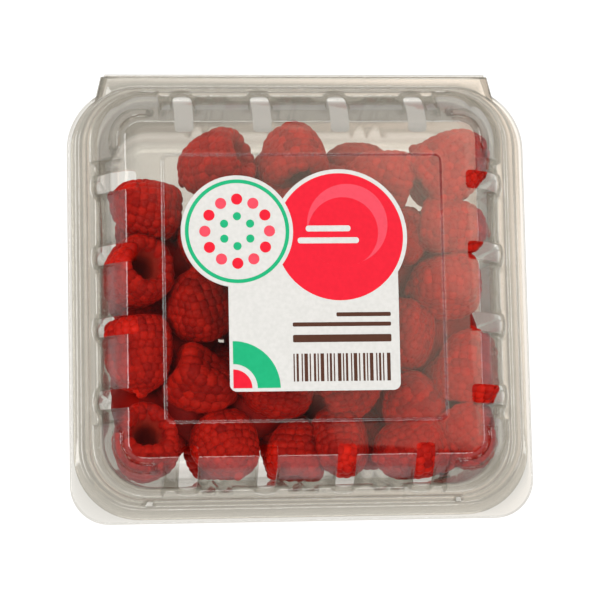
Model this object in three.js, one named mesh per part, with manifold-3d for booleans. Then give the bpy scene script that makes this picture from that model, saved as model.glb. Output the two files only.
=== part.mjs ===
// A clear hinged punnet of raspberries: fluted tray, vented lid, paper label and the heap of fruit.
// Millimetres, +Z up. The front, where the lid opens, is -Y, and the fold of the hinge is at +Y.
import * as THREE from 'three';
import { mergeVertices } from 'three/addons/utils/BufferGeometryUtils.js';
import Module from 'manifold-3d';

const wasm = await Module();
wasm.setup();

// The formed sheet
const SHEET = 0.5;
const MOVING_GAP = 0.3;

// The tray, from the outside of its floor to the top of its flange
const FLANGE_TOP = 29.2;
const FLANGE_THICKNESS = 0.6;
const FLANGE_BASE = FLANGE_TOP - FLANGE_THICKNESS;
const TRAY_MOUTH = { halfX: 53.8, front: -51.5, back: 53.6, radius: 13 };
const TRAY_FLOOR = { halfX: 50.2, front: -47.9, back: 49.9, radius: 11 };
const TRAY_FOOT_ROUND = 2.0;
const FLUTE_DEPTH = 1.3;
const FLUTE_WIDTH = 4.4;
const FLUTES_ON_X = [-25, 0, 25];

// The lid, from its flange to its top face
const LID_FLANGE_BASE = FLANGE_TOP + MOVING_GAP;
const LID_FLANGE_TOP = LID_FLANGE_BASE + FLANGE_THICKNESS;
const LID_RIM_TOP = 31.2;
const LID_SHOULDER = 34.0;
const LID_BROW = 41.6;
const LID_TOP = 42.0;
const LID_FACE = { halfX: 47.0, front: -43.6, back: 45.4, radius: 4.0 };
const LID_FOOT = { halfX: 56.0, front: -53.4, back: 55.9, radius: 14.5 };
const WINDOW_INSET = 1.3;
const WINDOW_RAMP = 0.8;
const BLOCK_END_X = 37.9;
const BLOCK_END_Y = 35.4;
const PILASTER_WIDTH = 6.6;
const PANEL = { halfX: 37.3, front: -34.6, back: 36.4, radius: 1.8 };
const PANEL_RISE = 0.6;
const MID_Y = 0.9;

// The vent slots through the lid's edge, four on each side
const SLOT_WIDTH = 5.0;
const SLOT_RADIUS = 1.1;
const SLOT_PITCH_X = 20.95;
const SLOT_PITCH_Y = 19.3;
const SLOT_INNER_INSET = 2.7;
const SLOT_REACH = 8.4;
const SLOT_FLOOR = 32.6;

// The curved ribs on the lid's corners
const RIB_OFFSET = 3.1;
const RIB_WIDTH = 2.3;
const RIB_RISE = 1.0;
const RIB_END_X = 41.3;
const RIB_END_Y = 38.2;

// The flanges, the bead between them and the hinge fold
const TRAY_FLANGE = { halfX: 61.3, front: -59.6, back: 57.4, radius: 17.5 };
const LID_FLANGE = { halfX: 62.5, front: -60.9, back: 57.5, radius: 17.5, frontRadius: 10.5 };
const LID_RIM = { halfX: 59.8, front: -56.8, back: 57.2, radius: 16.5 };
const BEAD_OUTER = { halfX: 58.6, front: -55.6, back: 57.0, radius: 15.8 };
const BEAD_INNER = { halfX: 56.9, front: -54.2, back: 56.3, radius: 14.6 };
const BEAD_TOP = 30.2;
const BEAD_CLEARANCE = 0.3;
const HINGE_EDGE = 60.9;
const HINGE_HALF_WIDTH = 53.2;
const HINGE_ROOT = 54.0;
const LOCK_BAR = { halfX: 42.2, front: -57.2, back: -54.3, rise: 0.7, chamfer: 1.4 };

// The label on the lid's panel
const LABEL_GAP = 0.1;
const LABEL_THICKNESS = 0.3;
const LABEL_BODY = { left: -20.4, right: 25.0, front: -26.9, back: 8.0, radius: 1.9 };
const LABEL_HEAD = { x: -17.8, y: 15.8, radius: 15.0 };
const LABEL_FIELD = { x: 9.5, y: 14.2, radius: 18.2 };

// The fruit
const BERRY_RADIUS = 9.2;
const BERRY_LENGTH = 20.0;
const BERRY_BUMP = 0.42;
const TOP_COLUMNS = 15;
const TOP_ROWS = 8;
const LOW_COLUMNS = 9;
const LOW_ROWS = 6;
const FRUIT_GAP = 0.35;
const HEAP_LIFT = 0.15;
const HEAP_TOLERANCE = 0.2;
const CORE_TOP = 22.5;
const CORE_SHRINK = 5.5;
const CORE_BACK_EMPTY = 6;
const EMPTY_CORNER = { right: -33, front: 33 };

const CORNER_STEPS = 5;
const SLOT_CORNER_STEPS = 2;
const HALF_TURN = Math.PI;
const QUARTER_TURN = Math.PI / 2;

const lerp = THREE.MathUtils.lerp;
const degrees = THREE.MathUtils.degToRad;

// Solids

function solidOf(geometry) {
  const bare = geometry.clone();
  bare.deleteAttribute('normal');
  bare.deleteAttribute('uv');
  const merged = mergeVertices(bare, 1e-4);
  return new wasm.Manifold(new wasm.Mesh({
    numProp: 3,
    vertProperties: new Float32Array(merged.attributes.position.array),
    triVerts: new Uint32Array(merged.index.array),
  }));
}

function geometryOf(solid) {
  const mesh = solid.getMesh();
  const geometry = new THREE.BufferGeometry();
  geometry.setAttribute('position', new THREE.Float32BufferAttribute(mesh.vertProperties, 3));
  geometry.setIndex(new THREE.Uint32BufferAttribute(mesh.triVerts, 1));
  geometry.computeVertexNormals();
  return geometry;
}

function joined(solids) {
  return solids.reduce((whole, solid) => whole.add(solid));
}

// The body inside the outermost surface, with sealed hollows filled and loose scraps dropped
function wholeBody(solid) {
  return solid.decompose().reduce((best, other) => (other.volume() > best.volume() ? other : best));
}

// Outlines, counter-clockwise seen from above

function cornerArc(x, y, radius, start, steps = CORNER_STEPS) {
  const points = [];
  for (let step = 0; step <= steps; step += 1) {
    const angle = start + (QUARTER_TURN * step) / steps;
    points.push(new THREE.Vector2(x + radius * Math.cos(angle), y + radius * Math.sin(angle)));
  }
  return points;
}

// A rounded rectangle whose straight sides step in or out at the given marks.
// A mark is [place along the side, distance outwards].
function outline(size, marksX = [], marksY = [], relief = 0) {
  const { halfX, front, back, radius, steps } = size;
  const frontRadius = size.frontRadius ?? radius;
  const frontSide = marksX.map(([at, out]) => new THREE.Vector2(at, front - out * relief));
  const rightSide = marksY.map(([at, out]) => new THREE.Vector2(halfX + out * relief, at));
  const backSide = marksX.map(([at, out]) => new THREE.Vector2(-at, back + out * relief));
  const leftSide = [...marksY].reverse()
    .map(([at, out]) => new THREE.Vector2(-halfX - out * relief, at));
  return [
    ...frontSide,
    ...cornerArc(halfX - frontRadius, front + frontRadius, frontRadius, -QUARTER_TURN, steps),
    ...rightSide,
    ...cornerArc(halfX - radius, back - radius, radius, 0, steps),
    ...backSide,
    ...cornerArc(-halfX + radius, back - radius, radius, QUARTER_TURN, steps),
    ...leftSide,
    ...cornerArc(-halfX + frontRadius, front + frontRadius, frontRadius, HALF_TURN, steps),
  ];
}

function grown(size, by) {
  return {
    halfX: size.halfX + by,
    front: size.front - by,
    back: size.back + by,
    radius: size.radius + by,
  };
}

function blend(low, high, share) {
  return {
    halfX: lerp(low.halfX, high.halfX, share),
    front: lerp(low.front, high.front, share),
    back: lerp(low.back, high.back, share),
    radius: lerp(low.radius, high.radius, share),
  };
}

// A solid skinned over outlines with equal numbers of points, from the lowest to the highest
function loft(levels) {
  const count = levels[0].points.length;
  const positions = levels.flatMap(({ z, points }) => points.flatMap((point) => [point.x, point.y, z]));
  const faces = [];
  for (let level = 0; level + 1 < levels.length; level += 1) {
    for (let here = 0; here < count; here += 1) {
      const next = (here + 1) % count;
      const low = level * count;
      const high = low + count;
      faces.push(low + here, low + next, high + next);
      faces.push(low + here, high + next, high + here);
    }
  }
  const top = (levels.length - 1) * count;
  for (const [a, b, c] of THREE.ShapeUtils.triangulateShape(levels[0].points, [])) {
    faces.push(c, b, a);
  }
  for (const [a, b, c] of THREE.ShapeUtils.triangulateShape(levels.at(-1).points, [])) {
    faces.push(top + a, top + b, top + c);
  }
  const geometry = new THREE.BufferGeometry();
  geometry.setAttribute('position', new THREE.Float32BufferAttribute(positions, 3));
  geometry.setIndex(faces);
  return solidOf(geometry);
}

function prism(points, low, high) {
  return loft([{ z: low, points }, { z: high, points }]);
}

function plate(size, low, high) {
  return prism(outline(size), low, high);
}

// The tray

function fluteMarks(places) {
  const half = FLUTE_WIDTH / 2;
  const section = [[-half, 0], [-0.7 * half, 0.72], [0, 1], [0.7 * half, 0.72], [half, 0]];
  return places.flatMap((place) => section.map(([at, out]) => [place + at, out * FLUTE_DEPTH]));
}

function slotPlaces(pitch, middle = 0) {
  return [-1.5, -0.5, 0.5, 1.5].map((step) => middle + step * pitch);
}

const TRAY_LEVELS = [
  { z: 0, share: 0, inset: TRAY_FOOT_ROUND, relief: 0 },
  { z: 0.3 * TRAY_FOOT_ROUND, share: 0, inset: 0.3 * TRAY_FOOT_ROUND, relief: 0 },
  { z: TRAY_FOOT_ROUND, share: 0.07, inset: 0, relief: 0 },
  { z: 2 * TRAY_FOOT_ROUND, share: 0.14, inset: 0, relief: 1 },
  { z: FLANGE_TOP, share: 1, inset: 0, relief: 1 },
];

function trayBlock(inset, lift, top, relief) {
  const marksX = fluteMarks(FLUTES_ON_X);
  const marksY = fluteMarks(slotPlaces(SLOT_PITCH_Y, MID_Y));
  return loft(TRAY_LEVELS.map((level, index) => ({
    z: index + 1 < TRAY_LEVELS.length ? level.z + lift : top,
    points: outline(
      grown(blend(TRAY_FLOOR, TRAY_MOUTH, level.share), -level.inset - inset),
      marksX,
      marksY,
      level.relief * relief,
    ),
  })));
}

function hingeStrip(low, high) {
  const half = HINGE_HALF_WIDTH;
  const points = [
    new THREE.Vector2(-half, HINGE_ROOT),
    new THREE.Vector2(half, HINGE_ROOT),
    new THREE.Vector2(half, HINGE_EDGE - 1),
    new THREE.Vector2(half - 1, HINGE_EDGE),
    new THREE.Vector2(1 - half, HINGE_EDGE),
    new THREE.Vector2(-half, HINGE_EDGE - 1),
  ];
  return prism(points, low, high);
}

function buildTray() {
  const bead = plate(BEAD_OUTER, FLANGE_BASE, BEAD_TOP)
    .subtract(plate(BEAD_INNER, FLANGE_BASE - 1, BEAD_TOP + 1));
  return joined([
    trayBlock(0, 0, FLANGE_TOP, 1),
    plate(TRAY_FLANGE, FLANGE_BASE, FLANGE_TOP),
    hingeStrip(FLANGE_BASE, FLANGE_TOP),
    bead,
  ]).subtract(trayBlock(SHEET, SHEET, BEAD_TOP + 1, 1));
}

// The lid

// Between the corner blocks the wall stands in, except for a pilaster at each slot
function windowMarks(end, places) {
  const half = PILASTER_WIDTH / 2;
  const edges = [-end, ...places.flatMap((place) => [place - half, place + half]), end];
  const marks = [];
  for (let index = 0; index < edges.length; index += 2) {
    const start = edges[index];
    const stop = edges[index + 1];
    marks.push([start, 0], [start + WINDOW_RAMP, -WINDOW_INSET]);
    marks.push([stop - WINDOW_RAMP, -WINDOW_INSET], [stop, 0]);
  }
  return marks;
}

const LID_LEVELS = [
  { z: LID_FLANGE_BASE, share: 1, relief: 1 },
  { z: LID_SHOULDER, share: 0.81, relief: 1 },
  { z: LID_BROW, share: 0.1, relief: 0 },
  { z: LID_TOP, share: 0, relief: 0 },
];

function lidBlock(inset, drop, foot) {
  const marksX = windowMarks(BLOCK_END_X, slotPlaces(SLOT_PITCH_X));
  const marksY = windowMarks(BLOCK_END_Y, slotPlaces(SLOT_PITCH_Y))
    .map(([at, out]) => [at + MID_Y, out]);
  return loft(LID_LEVELS.map((level, index) => ({
    z: index === 0 ? foot : level.z - drop,
    points: outline(
      grown(blend(LID_FACE, LID_FOOT, level.share), -inset),
      marksX,
      marksY,
      level.relief,
    ),
  })));
}

// One vent slot as an upright prism over the front edge of a lid face of the given reach
function slotCutter(place, edge, turn) {
  const size = {
    halfX: SLOT_WIDTH / 2,
    front: edge - SLOT_INNER_INSET,
    back: edge + SLOT_REACH,
    radius: SLOT_RADIUS,
    steps: SLOT_CORNER_STEPS,
  };
  const points = outline(size).map((point) => point.add(new THREE.Vector2(place, 0)));
  const turned = points.map((point) => point.rotateAround(new THREE.Vector2(0, 0), turn));
  return prism(turned, SLOT_FLOOR, LID_TOP + 1);
}

function slotCutters() {
  const cutters = [];
  for (const place of slotPlaces(SLOT_PITCH_X)) {
    cutters.push(slotCutter(place, LID_FACE.back, 0));
    cutters.push(slotCutter(place, -LID_FACE.front, HALF_TURN));
  }
  for (const place of slotPlaces(SLOT_PITCH_Y, MID_Y)) {
    cutters.push(slotCutter(place, LID_FACE.halfX, -QUARTER_TURN).mirror([0, 1, 0]));
    cutters.push(slotCutter(place, LID_FACE.halfX, QUARTER_TURN));
  }
  return cutters;
}

// A curved rib with round ends, seen from above, about one corner of the top face
function ribOutline(signX, signY) {
  const edgeY = signY > 0 ? LID_FACE.back : -LID_FACE.front;
  const radius = LID_FACE.radius;
  const middle = new THREE.Vector2(LID_FACE.halfX - radius, edgeY - radius);
  const half = RIB_WIDTH / 2;
  const outer = radius + RIB_OFFSET + half;
  const inner = radius + RIB_OFFSET - half;
  const endY = RIB_END_Y + MID_Y * signY;
  const points = [
    new THREE.Vector2(middle.x + inner, endY),
    new THREE.Vector2(middle.x + (inner + outer) / 2, endY - half),
    new THREE.Vector2(middle.x + outer, endY),
    ...cornerArc(middle.x, middle.y, outer, 0),
    new THREE.Vector2(RIB_END_X, middle.y + outer),
    new THREE.Vector2(RIB_END_X - half, middle.y + (inner + outer) / 2),
    new THREE.Vector2(RIB_END_X, middle.y + inner),
    ...cornerArc(middle.x, middle.y, inner, 0).reverse(),
  ];
  const placed = points.map((point) => new THREE.Vector2(point.x * signX, point.y * signY));
  return signX * signY > 0 ? placed : placed.reverse();
}

function cornerRibs(skin) {
  const ribs = [];
  for (const signX of [-1, 1]) {
    for (const signY of [-1, 1]) {
      ribs.push(prism(ribOutline(signX, signY), LID_SHOULDER, LID_TOP + 1));
    }
  }
  return joined(ribs).intersect(skin);
}

function lockBar() {
  const { halfX, front, back, rise, chamfer } = LOCK_BAR;
  const points = [
    new THREE.Vector2(chamfer - halfX, front),
    new THREE.Vector2(halfX - chamfer, front),
    new THREE.Vector2(halfX, back),
    new THREE.Vector2(-halfX, back),
  ];
  return prism(points, LID_FLANGE_TOP, LID_RIM_TOP + rise);
}

function buildLid() {
  const hollow = lidBlock(SHEET, SHEET, LID_FLANGE_BASE - 1)
    .add(plate(grown(PANEL, -SHEET), LID_BROW - 1, LID_TOP + PANEL_RISE - SHEET));
  const channel = plate(grown(BEAD_OUTER, BEAD_CLEARANCE), LID_FLANGE_BASE - 1, BEAD_TOP + BEAD_CLEARANCE)
    .subtract(plate(grown(BEAD_INNER, -BEAD_CLEARANCE), LID_FLANGE_BASE - 2, LID_TOP));
  const skin = lidBlock(0, 0, LID_FLANGE_BASE);
  const raisedSkin = lidBlock(0, -RIB_RISE, LID_FLANGE_BASE);
  const outside = joined([
    skin,
    plate(PANEL, LID_BROW, LID_TOP + PANEL_RISE),
    cornerRibs(raisedSkin),
    plate(LID_FLANGE, LID_FLANGE_BASE, LID_FLANGE_TOP),
    plate(LID_RIM, LID_FLANGE_BASE, LID_RIM_TOP),
    hingeStrip(LID_FLANGE_BASE, LID_FLANGE_TOP),
    lockBar(),
  ]);
  return outside.subtract(hollow).subtract(channel).subtract(joined(slotCutters()));
}

// The label

function disc({ x, y, radius }, low, high) {
  const steps = 40;
  const points = [];
  for (let step = 0; step < steps; step += 1) {
    const angle = (2 * HALF_TURN * step) / steps;
    points.push(new THREE.Vector2(x + radius * Math.cos(angle), y + radius * Math.sin(angle)));
  }
  return prism(points, low, high);
}

function buildLabel() {
  const low = LID_TOP + PANEL_RISE + LABEL_GAP;
  const high = low + LABEL_THICKNESS;
  const { left, right, front, back, radius } = LABEL_BODY;
  const middle = (left + right) / 2;
  const body = plate({ halfX: (right - left) / 2, front, back, radius }, low, high)
    .translate([middle, 0, 0]);
  return joined([body, disc(LABEL_HEAD, low, high), disc(LABEL_FIELD, low, high)]);
}

// The fruit

// A berry's side view from the middle of its stem end to its tip, in shares of radius and length
const SHUT_PROFILE = [[0, 0.14], [0.4, 0.03], [0.8, 0.06], [1, 0.28], [0.93, 0.56], [0.63, 0.84], [0, 1]];
const OPEN_PROFILE = [[0, 0.5], [0.34, 0.4], [0.42, 0.1], [0.66, 0], [0.94, 0.12], [1, 0.32],
  [0.93, 0.58], [0.63, 0.84], [0, 1]];

// Rings of staggered points, every third of which stands out as a drupelet
function berry({ columns, rows, bump, open }) {
  const profile = (open ? OPEN_PROFILE : SHUT_PROFILE)
    .map(([out, up]) => new THREE.Vector2(out * BERRY_RADIUS, (up - 0.5) * BERRY_LENGTH));
  const curve = new THREE.SplineCurve(profile);
  const stations = curve.getSpacedPoints(rows);
  const hollowRows = open ? Math.round(rows * 0.4) : 0;
  const positions = [0, 0, stations[0].y];
  for (let row = 1; row < rows; row += 1) {
    const tangent = curve.getTangentAt(row / rows);
    for (let column = 0; column < columns; column += 1) {
      const angle = (2 * HALF_TURN * (column + row / 2)) / columns;
      const high = (column - row + 3 * rows) % 3 === 0;
      const lift = row <= hollowRows ? 0 : (high ? bump : -bump);
      const radius = stations[row].x + lift * tangent.y;
      const height = stations[row].y - lift * tangent.x;
      positions.push(radius * Math.cos(angle), radius * Math.sin(angle), height);
    }
  }
  positions.push(0, 0, stations[rows].y);
  const tip = 1 + (rows - 1) * columns;
  const faces = [];
  for (let column = 0; column < columns; column += 1) {
    const next = (column + 1) % columns;
    const lastRow = 1 + (rows - 2) * columns;
    faces.push(0, 1 + next, 1 + column);
    faces.push(tip, lastRow + column, lastRow + next);
    for (let row = 0; row < rows - 2; row += 1) {
      const low = 1 + row * columns;
      const high = low + columns;
      faces.push(low + column, low + next, high + column);
      faces.push(low + next, high + next, high + column);
    }
  }
  const geometry = new THREE.BufferGeometry();
  geometry.setAttribute('position', new THREE.Float32BufferAttribute(positions, 3));
  geometry.setIndex(faces);
  return geometry;
}

function seededRandom(seed) {
  let state = seed;
  return () => {
    state = (state * 16807) % 2147483647;
    return state / 2147483647;
  };
}

// The top layer, row by row from the back: place, size, heading of the tip and its lean from upright
const TOP_BERRIES = [
  { x: -23, y: 36, z: 25, size: 1.0, heading: 200, lean: 80 },
  { x: -1, y: 39, z: 25, size: 1.03, heading: 95, lean: 105 },
  { x: 24, y: 34, z: 22, size: 0.95, heading: 160, lean: 95 },
  { x: 44, y: 37, z: 25, size: 1.08, heading: 35, lean: 85 },
  { x: -42, y: 25, z: 24, size: 0.97, heading: 170, lean: 70 },
  { x: -22, y: 18, z: 23, size: 0.98, heading: 20, lean: 60, plain: true },
  { x: -3, y: 20, z: 24, size: 1.0, heading: 280, lean: 90, plain: true },
  { x: 15, y: 17, z: 22, size: 0.95, heading: 130, lean: 80, plain: true },
  { x: 29, y: 18, z: 22, size: 0.85, heading: 60, lean: 100 },
  { x: 44, y: 19, z: 25, size: 0.98, heading: 350, lean: 75 },
  { x: -45, y: 6.5, z: 23.5, size: 1.05, heading: 215, lean: 150, open: true },
  { x: -27, y: -1, z: 24, size: 1.0, heading: 100, lean: 60 },
  { x: -8, y: 1, z: 24, size: 1.0, heading: 10, lean: 85, plain: true },
  { x: 12, y: -1, z: 23, size: 1.0, heading: 240, lean: 95, plain: true },
  { x: 40, y: 3, z: 24, size: 1.05, heading: 185, lean: 85 },
  { x: -44, y: -16, z: 25, size: 1.05, heading: 275, lean: 80 },
  { x: 29, y: -11, z: 22, size: 1.0, heading: 265, lean: 75 },
  { x: 47, y: -19, z: 25, size: 1.03, heading: 80, lean: 85 },
  { x: -26, y: -23, z: 25, size: 1.02, heading: 330, lean: 100 },
  { x: -7, y: -25, z: 23, size: 1.0, heading: 180, lean: 80, plain: true },
  { x: 14, y: -24, z: 23, size: 1.0, heading: 30, lean: 95, plain: true },
  { x: 31, y: -29, z: 23, size: 0.95, heading: 120, lean: 70 },
  { x: -43, y: -40, z: 23, size: 1.05, heading: 240, lean: 155, open: true },
  { x: -20, y: -41, z: 24, size: 0.95, heading: 290, lean: 60 },
  { x: -1, y: -41, z: 22, size: 0.9, heading: 80, lean: 100 },
  { x: 10.5, y: -41, z: 25, size: 0.97, heading: 270, lean: 50 },
  { x: 29.5, y: -41.5, z: 24, size: 1.03, heading: 200, lean: 75 },
  { x: 46.5, y: -39, z: 24, size: 0.97, heading: 300, lean: 80 },
];

// The lower layer, one ring of fruit along the walls, leaving the back left corner empty
const LOW_RING = { halfX: 40.5, front: -38.5, back: 37, pitch: 19.4, z: 10.6 };

function lowPlaces() {
  const { halfX, front, back, pitch, z } = LOW_RING;
  const along = Math.round((2 * halfX) / pitch);
  const across = Math.round((back - front) / pitch);
  const places = [];
  for (let step = 0; step <= along; step += 1) {
    const x = lerp(-halfX, halfX, step / along);
    places.push({ x, y: front, z });
    if (step > 0) {
      places.push({ x, y: back, z });
    }
  }
  for (let step = 1; step < across; step += 1) {
    const y = lerp(front, back, step / across);
    places.push({ x: -halfX, y, z }, { x: halfX, y, z });
  }
  return places;
}

function placedBerry(geometry, { x, y, z, size, heading, lean, roll, squeeze }) {
  const turn = new THREE.Euler(0, degrees(lean), degrees(heading), 'ZYX');
  const spin = new THREE.Matrix4().makeRotationZ(degrees(roll));
  const girth = new THREE.Matrix4().makeScale(size * squeeze, size / squeeze, size);
  const place = new THREE.Matrix4().makeRotationFromEuler(turn).setPosition(x, y, z);
  const shaped = geometry.clone().applyMatrix4(place.multiply(spin).multiply(girth));
  return solidOf(shaped);
}

// The back left corner of the tray, which holds no fruit
function emptyCorner() {
  const { right, front } = EMPTY_CORNER;
  const reach = { halfX: TRAY_MOUTH.halfX / 2, front, back: TRAY_MOUTH.back, radius: BERRY_RADIUS / 2 };
  return plate(reach, 0, LID_TOP).translate([right - reach.halfX, 0, 0]);
}

function buildRaspberries() {
  const random = seededRandom(31);
  const shut = berry({ columns: TOP_COLUMNS, rows: TOP_ROWS, bump: BERRY_BUMP, open: false });
  const open = berry({ columns: TOP_COLUMNS, rows: TOP_ROWS, bump: BERRY_BUMP, open: true });
  const plain = berry({ columns: LOW_COLUMNS, rows: LOW_ROWS, bump: BERRY_BUMP, open: false });
  const shapeFor = (place) => (place.plain ? plain : (place.open ? open : shut));
  const fruit = TOP_BERRIES.map((place) => placedBerry(shapeFor(place), {
    ...place,
    roll: 360 * random(),
    squeeze: 0.96 + 0.08 * random(),
  }));
  for (const place of lowPlaces()) {
    fruit.push(placedBerry(plain, {
      ...place,
      size: 0.94 + 0.1 * random(),
      heading: 360 * random(),
      lean: 60 + 60 * random(),
      roll: 360 * random(),
      squeeze: 0.96 + 0.08 * random(),
    }));
  }
  const core = prism(
    outline(grown({ ...TRAY_FLOOR, back: TRAY_FLOOR.back - CORE_BACK_EMPTY }, -CORE_SHRINK)),
    SHEET + HEAP_LIFT + 1,
    CORE_TOP,
  ).subtract(emptyCorner());
  const roomBelow = trayBlock(SHEET + FRUIT_GAP, SHEET + HEAP_LIFT, FLANGE_TOP + 2, 0);
  const roomAbove = lidBlock(SHEET + FRUIT_GAP, SHEET + FRUIT_GAP, FLANGE_TOP);
  const heap = joined([core, ...fruit]).intersect(roomBelow.add(roomAbove));
  return wholeBody(heap).simplify(HEAP_TOLERANCE);
}

// The whole punnet

const CLEAR = { color: 0xd8d4cc, roughness: 0.08, metalness: 0, transparent: true, opacity: 0.35 };
const PAPER = { color: 0xebebe8, roughness: 0.6, metalness: 0 };
const FRUIT = { color: 0xaa190f, roughness: 0.5, metalness: 0 };

function piece(name, solid, look) {
  const mesh = new THREE.Mesh(geometryOf(solid), new THREE.MeshStandardMaterial(look));
  mesh.name = name;
  return mesh;
}

const punnet = new THREE.Group();
punnet.add(piece('tray', buildTray(), CLEAR));
punnet.add(piece('raspberries', buildRaspberries(), FRUIT));
punnet.add(piece('lid', buildLid(), CLEAR));
punnet.add(piece('label', buildLabel(), PAPER));

export default punnet;
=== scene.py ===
"""A clear hinged punnet of raspberries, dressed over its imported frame.

Metres, +Z up; the sizes in the classes are millimetres. The front, where the lid opens, is -Y,
and the fold of the hinge is at +Y.
"""

import logging
import math
from dataclasses import dataclass, field
from enum import Enum
from typing import Any

import bpy
import numpy as np
from mathutils import Matrix, Vector


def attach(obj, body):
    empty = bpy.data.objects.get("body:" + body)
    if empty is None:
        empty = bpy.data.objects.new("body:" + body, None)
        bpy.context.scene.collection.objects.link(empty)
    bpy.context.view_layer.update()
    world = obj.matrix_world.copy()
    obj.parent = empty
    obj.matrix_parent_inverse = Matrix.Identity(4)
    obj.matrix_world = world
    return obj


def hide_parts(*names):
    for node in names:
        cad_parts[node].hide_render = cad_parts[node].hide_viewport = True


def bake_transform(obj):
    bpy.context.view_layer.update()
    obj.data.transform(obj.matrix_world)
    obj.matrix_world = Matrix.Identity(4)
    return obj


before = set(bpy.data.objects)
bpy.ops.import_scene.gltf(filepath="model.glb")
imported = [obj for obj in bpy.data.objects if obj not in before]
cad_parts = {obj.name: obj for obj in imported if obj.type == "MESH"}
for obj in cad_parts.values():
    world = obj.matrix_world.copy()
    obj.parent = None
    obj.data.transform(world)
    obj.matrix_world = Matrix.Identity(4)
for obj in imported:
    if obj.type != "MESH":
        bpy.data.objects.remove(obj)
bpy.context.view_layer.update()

LOG = logging.getLogger("punnet")
MM = 0.001
PHOTO_WIDTH = 600
QUARTER_TURN = math.pi / 2
FULL_TURN = 2 * math.pi
SHARP_ANGLE = math.radians(40)
Colour = tuple[float, float, float]
Place = tuple[float, float, float]
WHITE: Colour = (1.0, 1.0, 1.0)
WARM: Colour = (1.0, 0.80, 0.66)


class Body(Enum):
    """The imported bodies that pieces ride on."""

    TRAY = "tray"
    LID = "lid"


class Finish(Enum):
    """The record's material slots."""

    CLEAR = "clear_plastic"
    PAPER = "label_paper"
    FRUIT = "fruit"


# Small helpers


def smooth_step(value: np.ndarray) -> np.ndarray:
    """A rise from 0 to 1 that starts and ends level."""
    share = np.clip(value, 0.0, 1.0)
    return share * share * (3 - 2 * share)


def mesh_object(name: str, points: np.ndarray, faces: list[tuple[int, ...]]) -> bpy.types.Object:
    """Makes a linked object from points in millimetres.

    Args:
        name: The object's name.
        points: Rows of x, y and z in millimetres.
        faces: Each face's point numbers, counter-clockwise seen from outside.

    Returns:
        The new object, at the origin.
    """
    mesh = bpy.data.meshes.new(name)
    mesh.from_pydata((np.asarray(points, float) * MM).tolist(), [], faces)
    mesh.update()
    made = bpy.data.objects.new(name, mesh)
    bpy.context.scene.collection.objects.link(made)
    return made


def prism(flat: np.ndarray, low: float, high: float) -> tuple[np.ndarray, list[tuple[int, ...]]]:
    """Makes an upright prism.

    Args:
        flat: Its outline, as rows of x and y, counter-clockwise seen from above.
        low: The height of its bottom.
        high: The height of its top.

    Returns:
        Its points and faces.
    """
    count = len(flat)
    points = np.vstack([np.column_stack([flat, np.full(count, z)]) for z in (low, high)])
    faces = [tuple(range(count - 1, -1, -1)), tuple(range(count, 2 * count))]
    for step in range(count):
        following = (step + 1) % count
        faces.append((step, following, count + following, count + step))
    return points, faces


class Parts:
    """Gathers the points and faces of several forms that become one mesh."""

    def __init__(self) -> None:
        """Starts without any form."""
        self.points: list[np.ndarray] = []
        self.faces: list[tuple[int, ...]] = []
        self.count = 0

    def add(self, points: np.ndarray, faces: list[tuple[int, ...]]) -> None:
        """Adds a form; its faces' numbers start at 0."""
        self.points.append(points)
        self.faces += [tuple(self.count + number for number in face) for face in faces]
        self.count += len(points)

    def joined(self, name: str) -> bpy.types.Object:
        """Makes one linked object of all the forms."""
        return mesh_object(name, np.vstack(self.points), self.faces)


def discard(thing: bpy.types.Object) -> None:
    """Removes an object and its mesh."""
    mesh = thing.data
    bpy.data.objects.remove(thing)
    bpy.data.meshes.remove(mesh)


def finished(source: bpy.types.Object, name: str) -> bpy.types.Object:
    """Turns an object with live modifiers into a plain mesh object.

    Args:
        source: The object; it is removed.
        name: The name of the plain object.

    Returns:
        The plain object, at the origin.
    """
    graph = bpy.context.evaluated_depsgraph_get()
    shaped = source.evaluated_get(graph)
    mesh = bpy.data.meshes.new_from_object(shaped, preserve_all_data_layers=True, depsgraph=graph)
    discard(source)
    mesh.name = name
    plain = bpy.data.objects.new(name, mesh)
    bpy.context.scene.collection.objects.link(plain)
    return plain


def point_attribute(mesh: bpy.types.Mesh, name: str, values: np.ndarray) -> None:
    """Stores one number or one vector for each point of a mesh.

    Args:
        mesh: The mesh.
        name: The attribute's name.
        values: One row for each point.
    """
    values = np.asarray(values, np.float32)
    kind = "FLOAT_VECTOR" if values.ndim == 2 else "FLOAT"
    key = "vector" if values.ndim == 2 else "value"
    attribute = mesh.attributes.new(name, kind, "POINT")
    attribute.data.foreach_set(key, values.ravel())


def report(piece: bpy.types.Object) -> None:
    """Logs a finished piece and its number of triangles."""
    piece.data.calc_loop_triangles()
    LOG.info("%s: %d triangles", piece.name, len(piece.data.loop_triangles))


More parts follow.
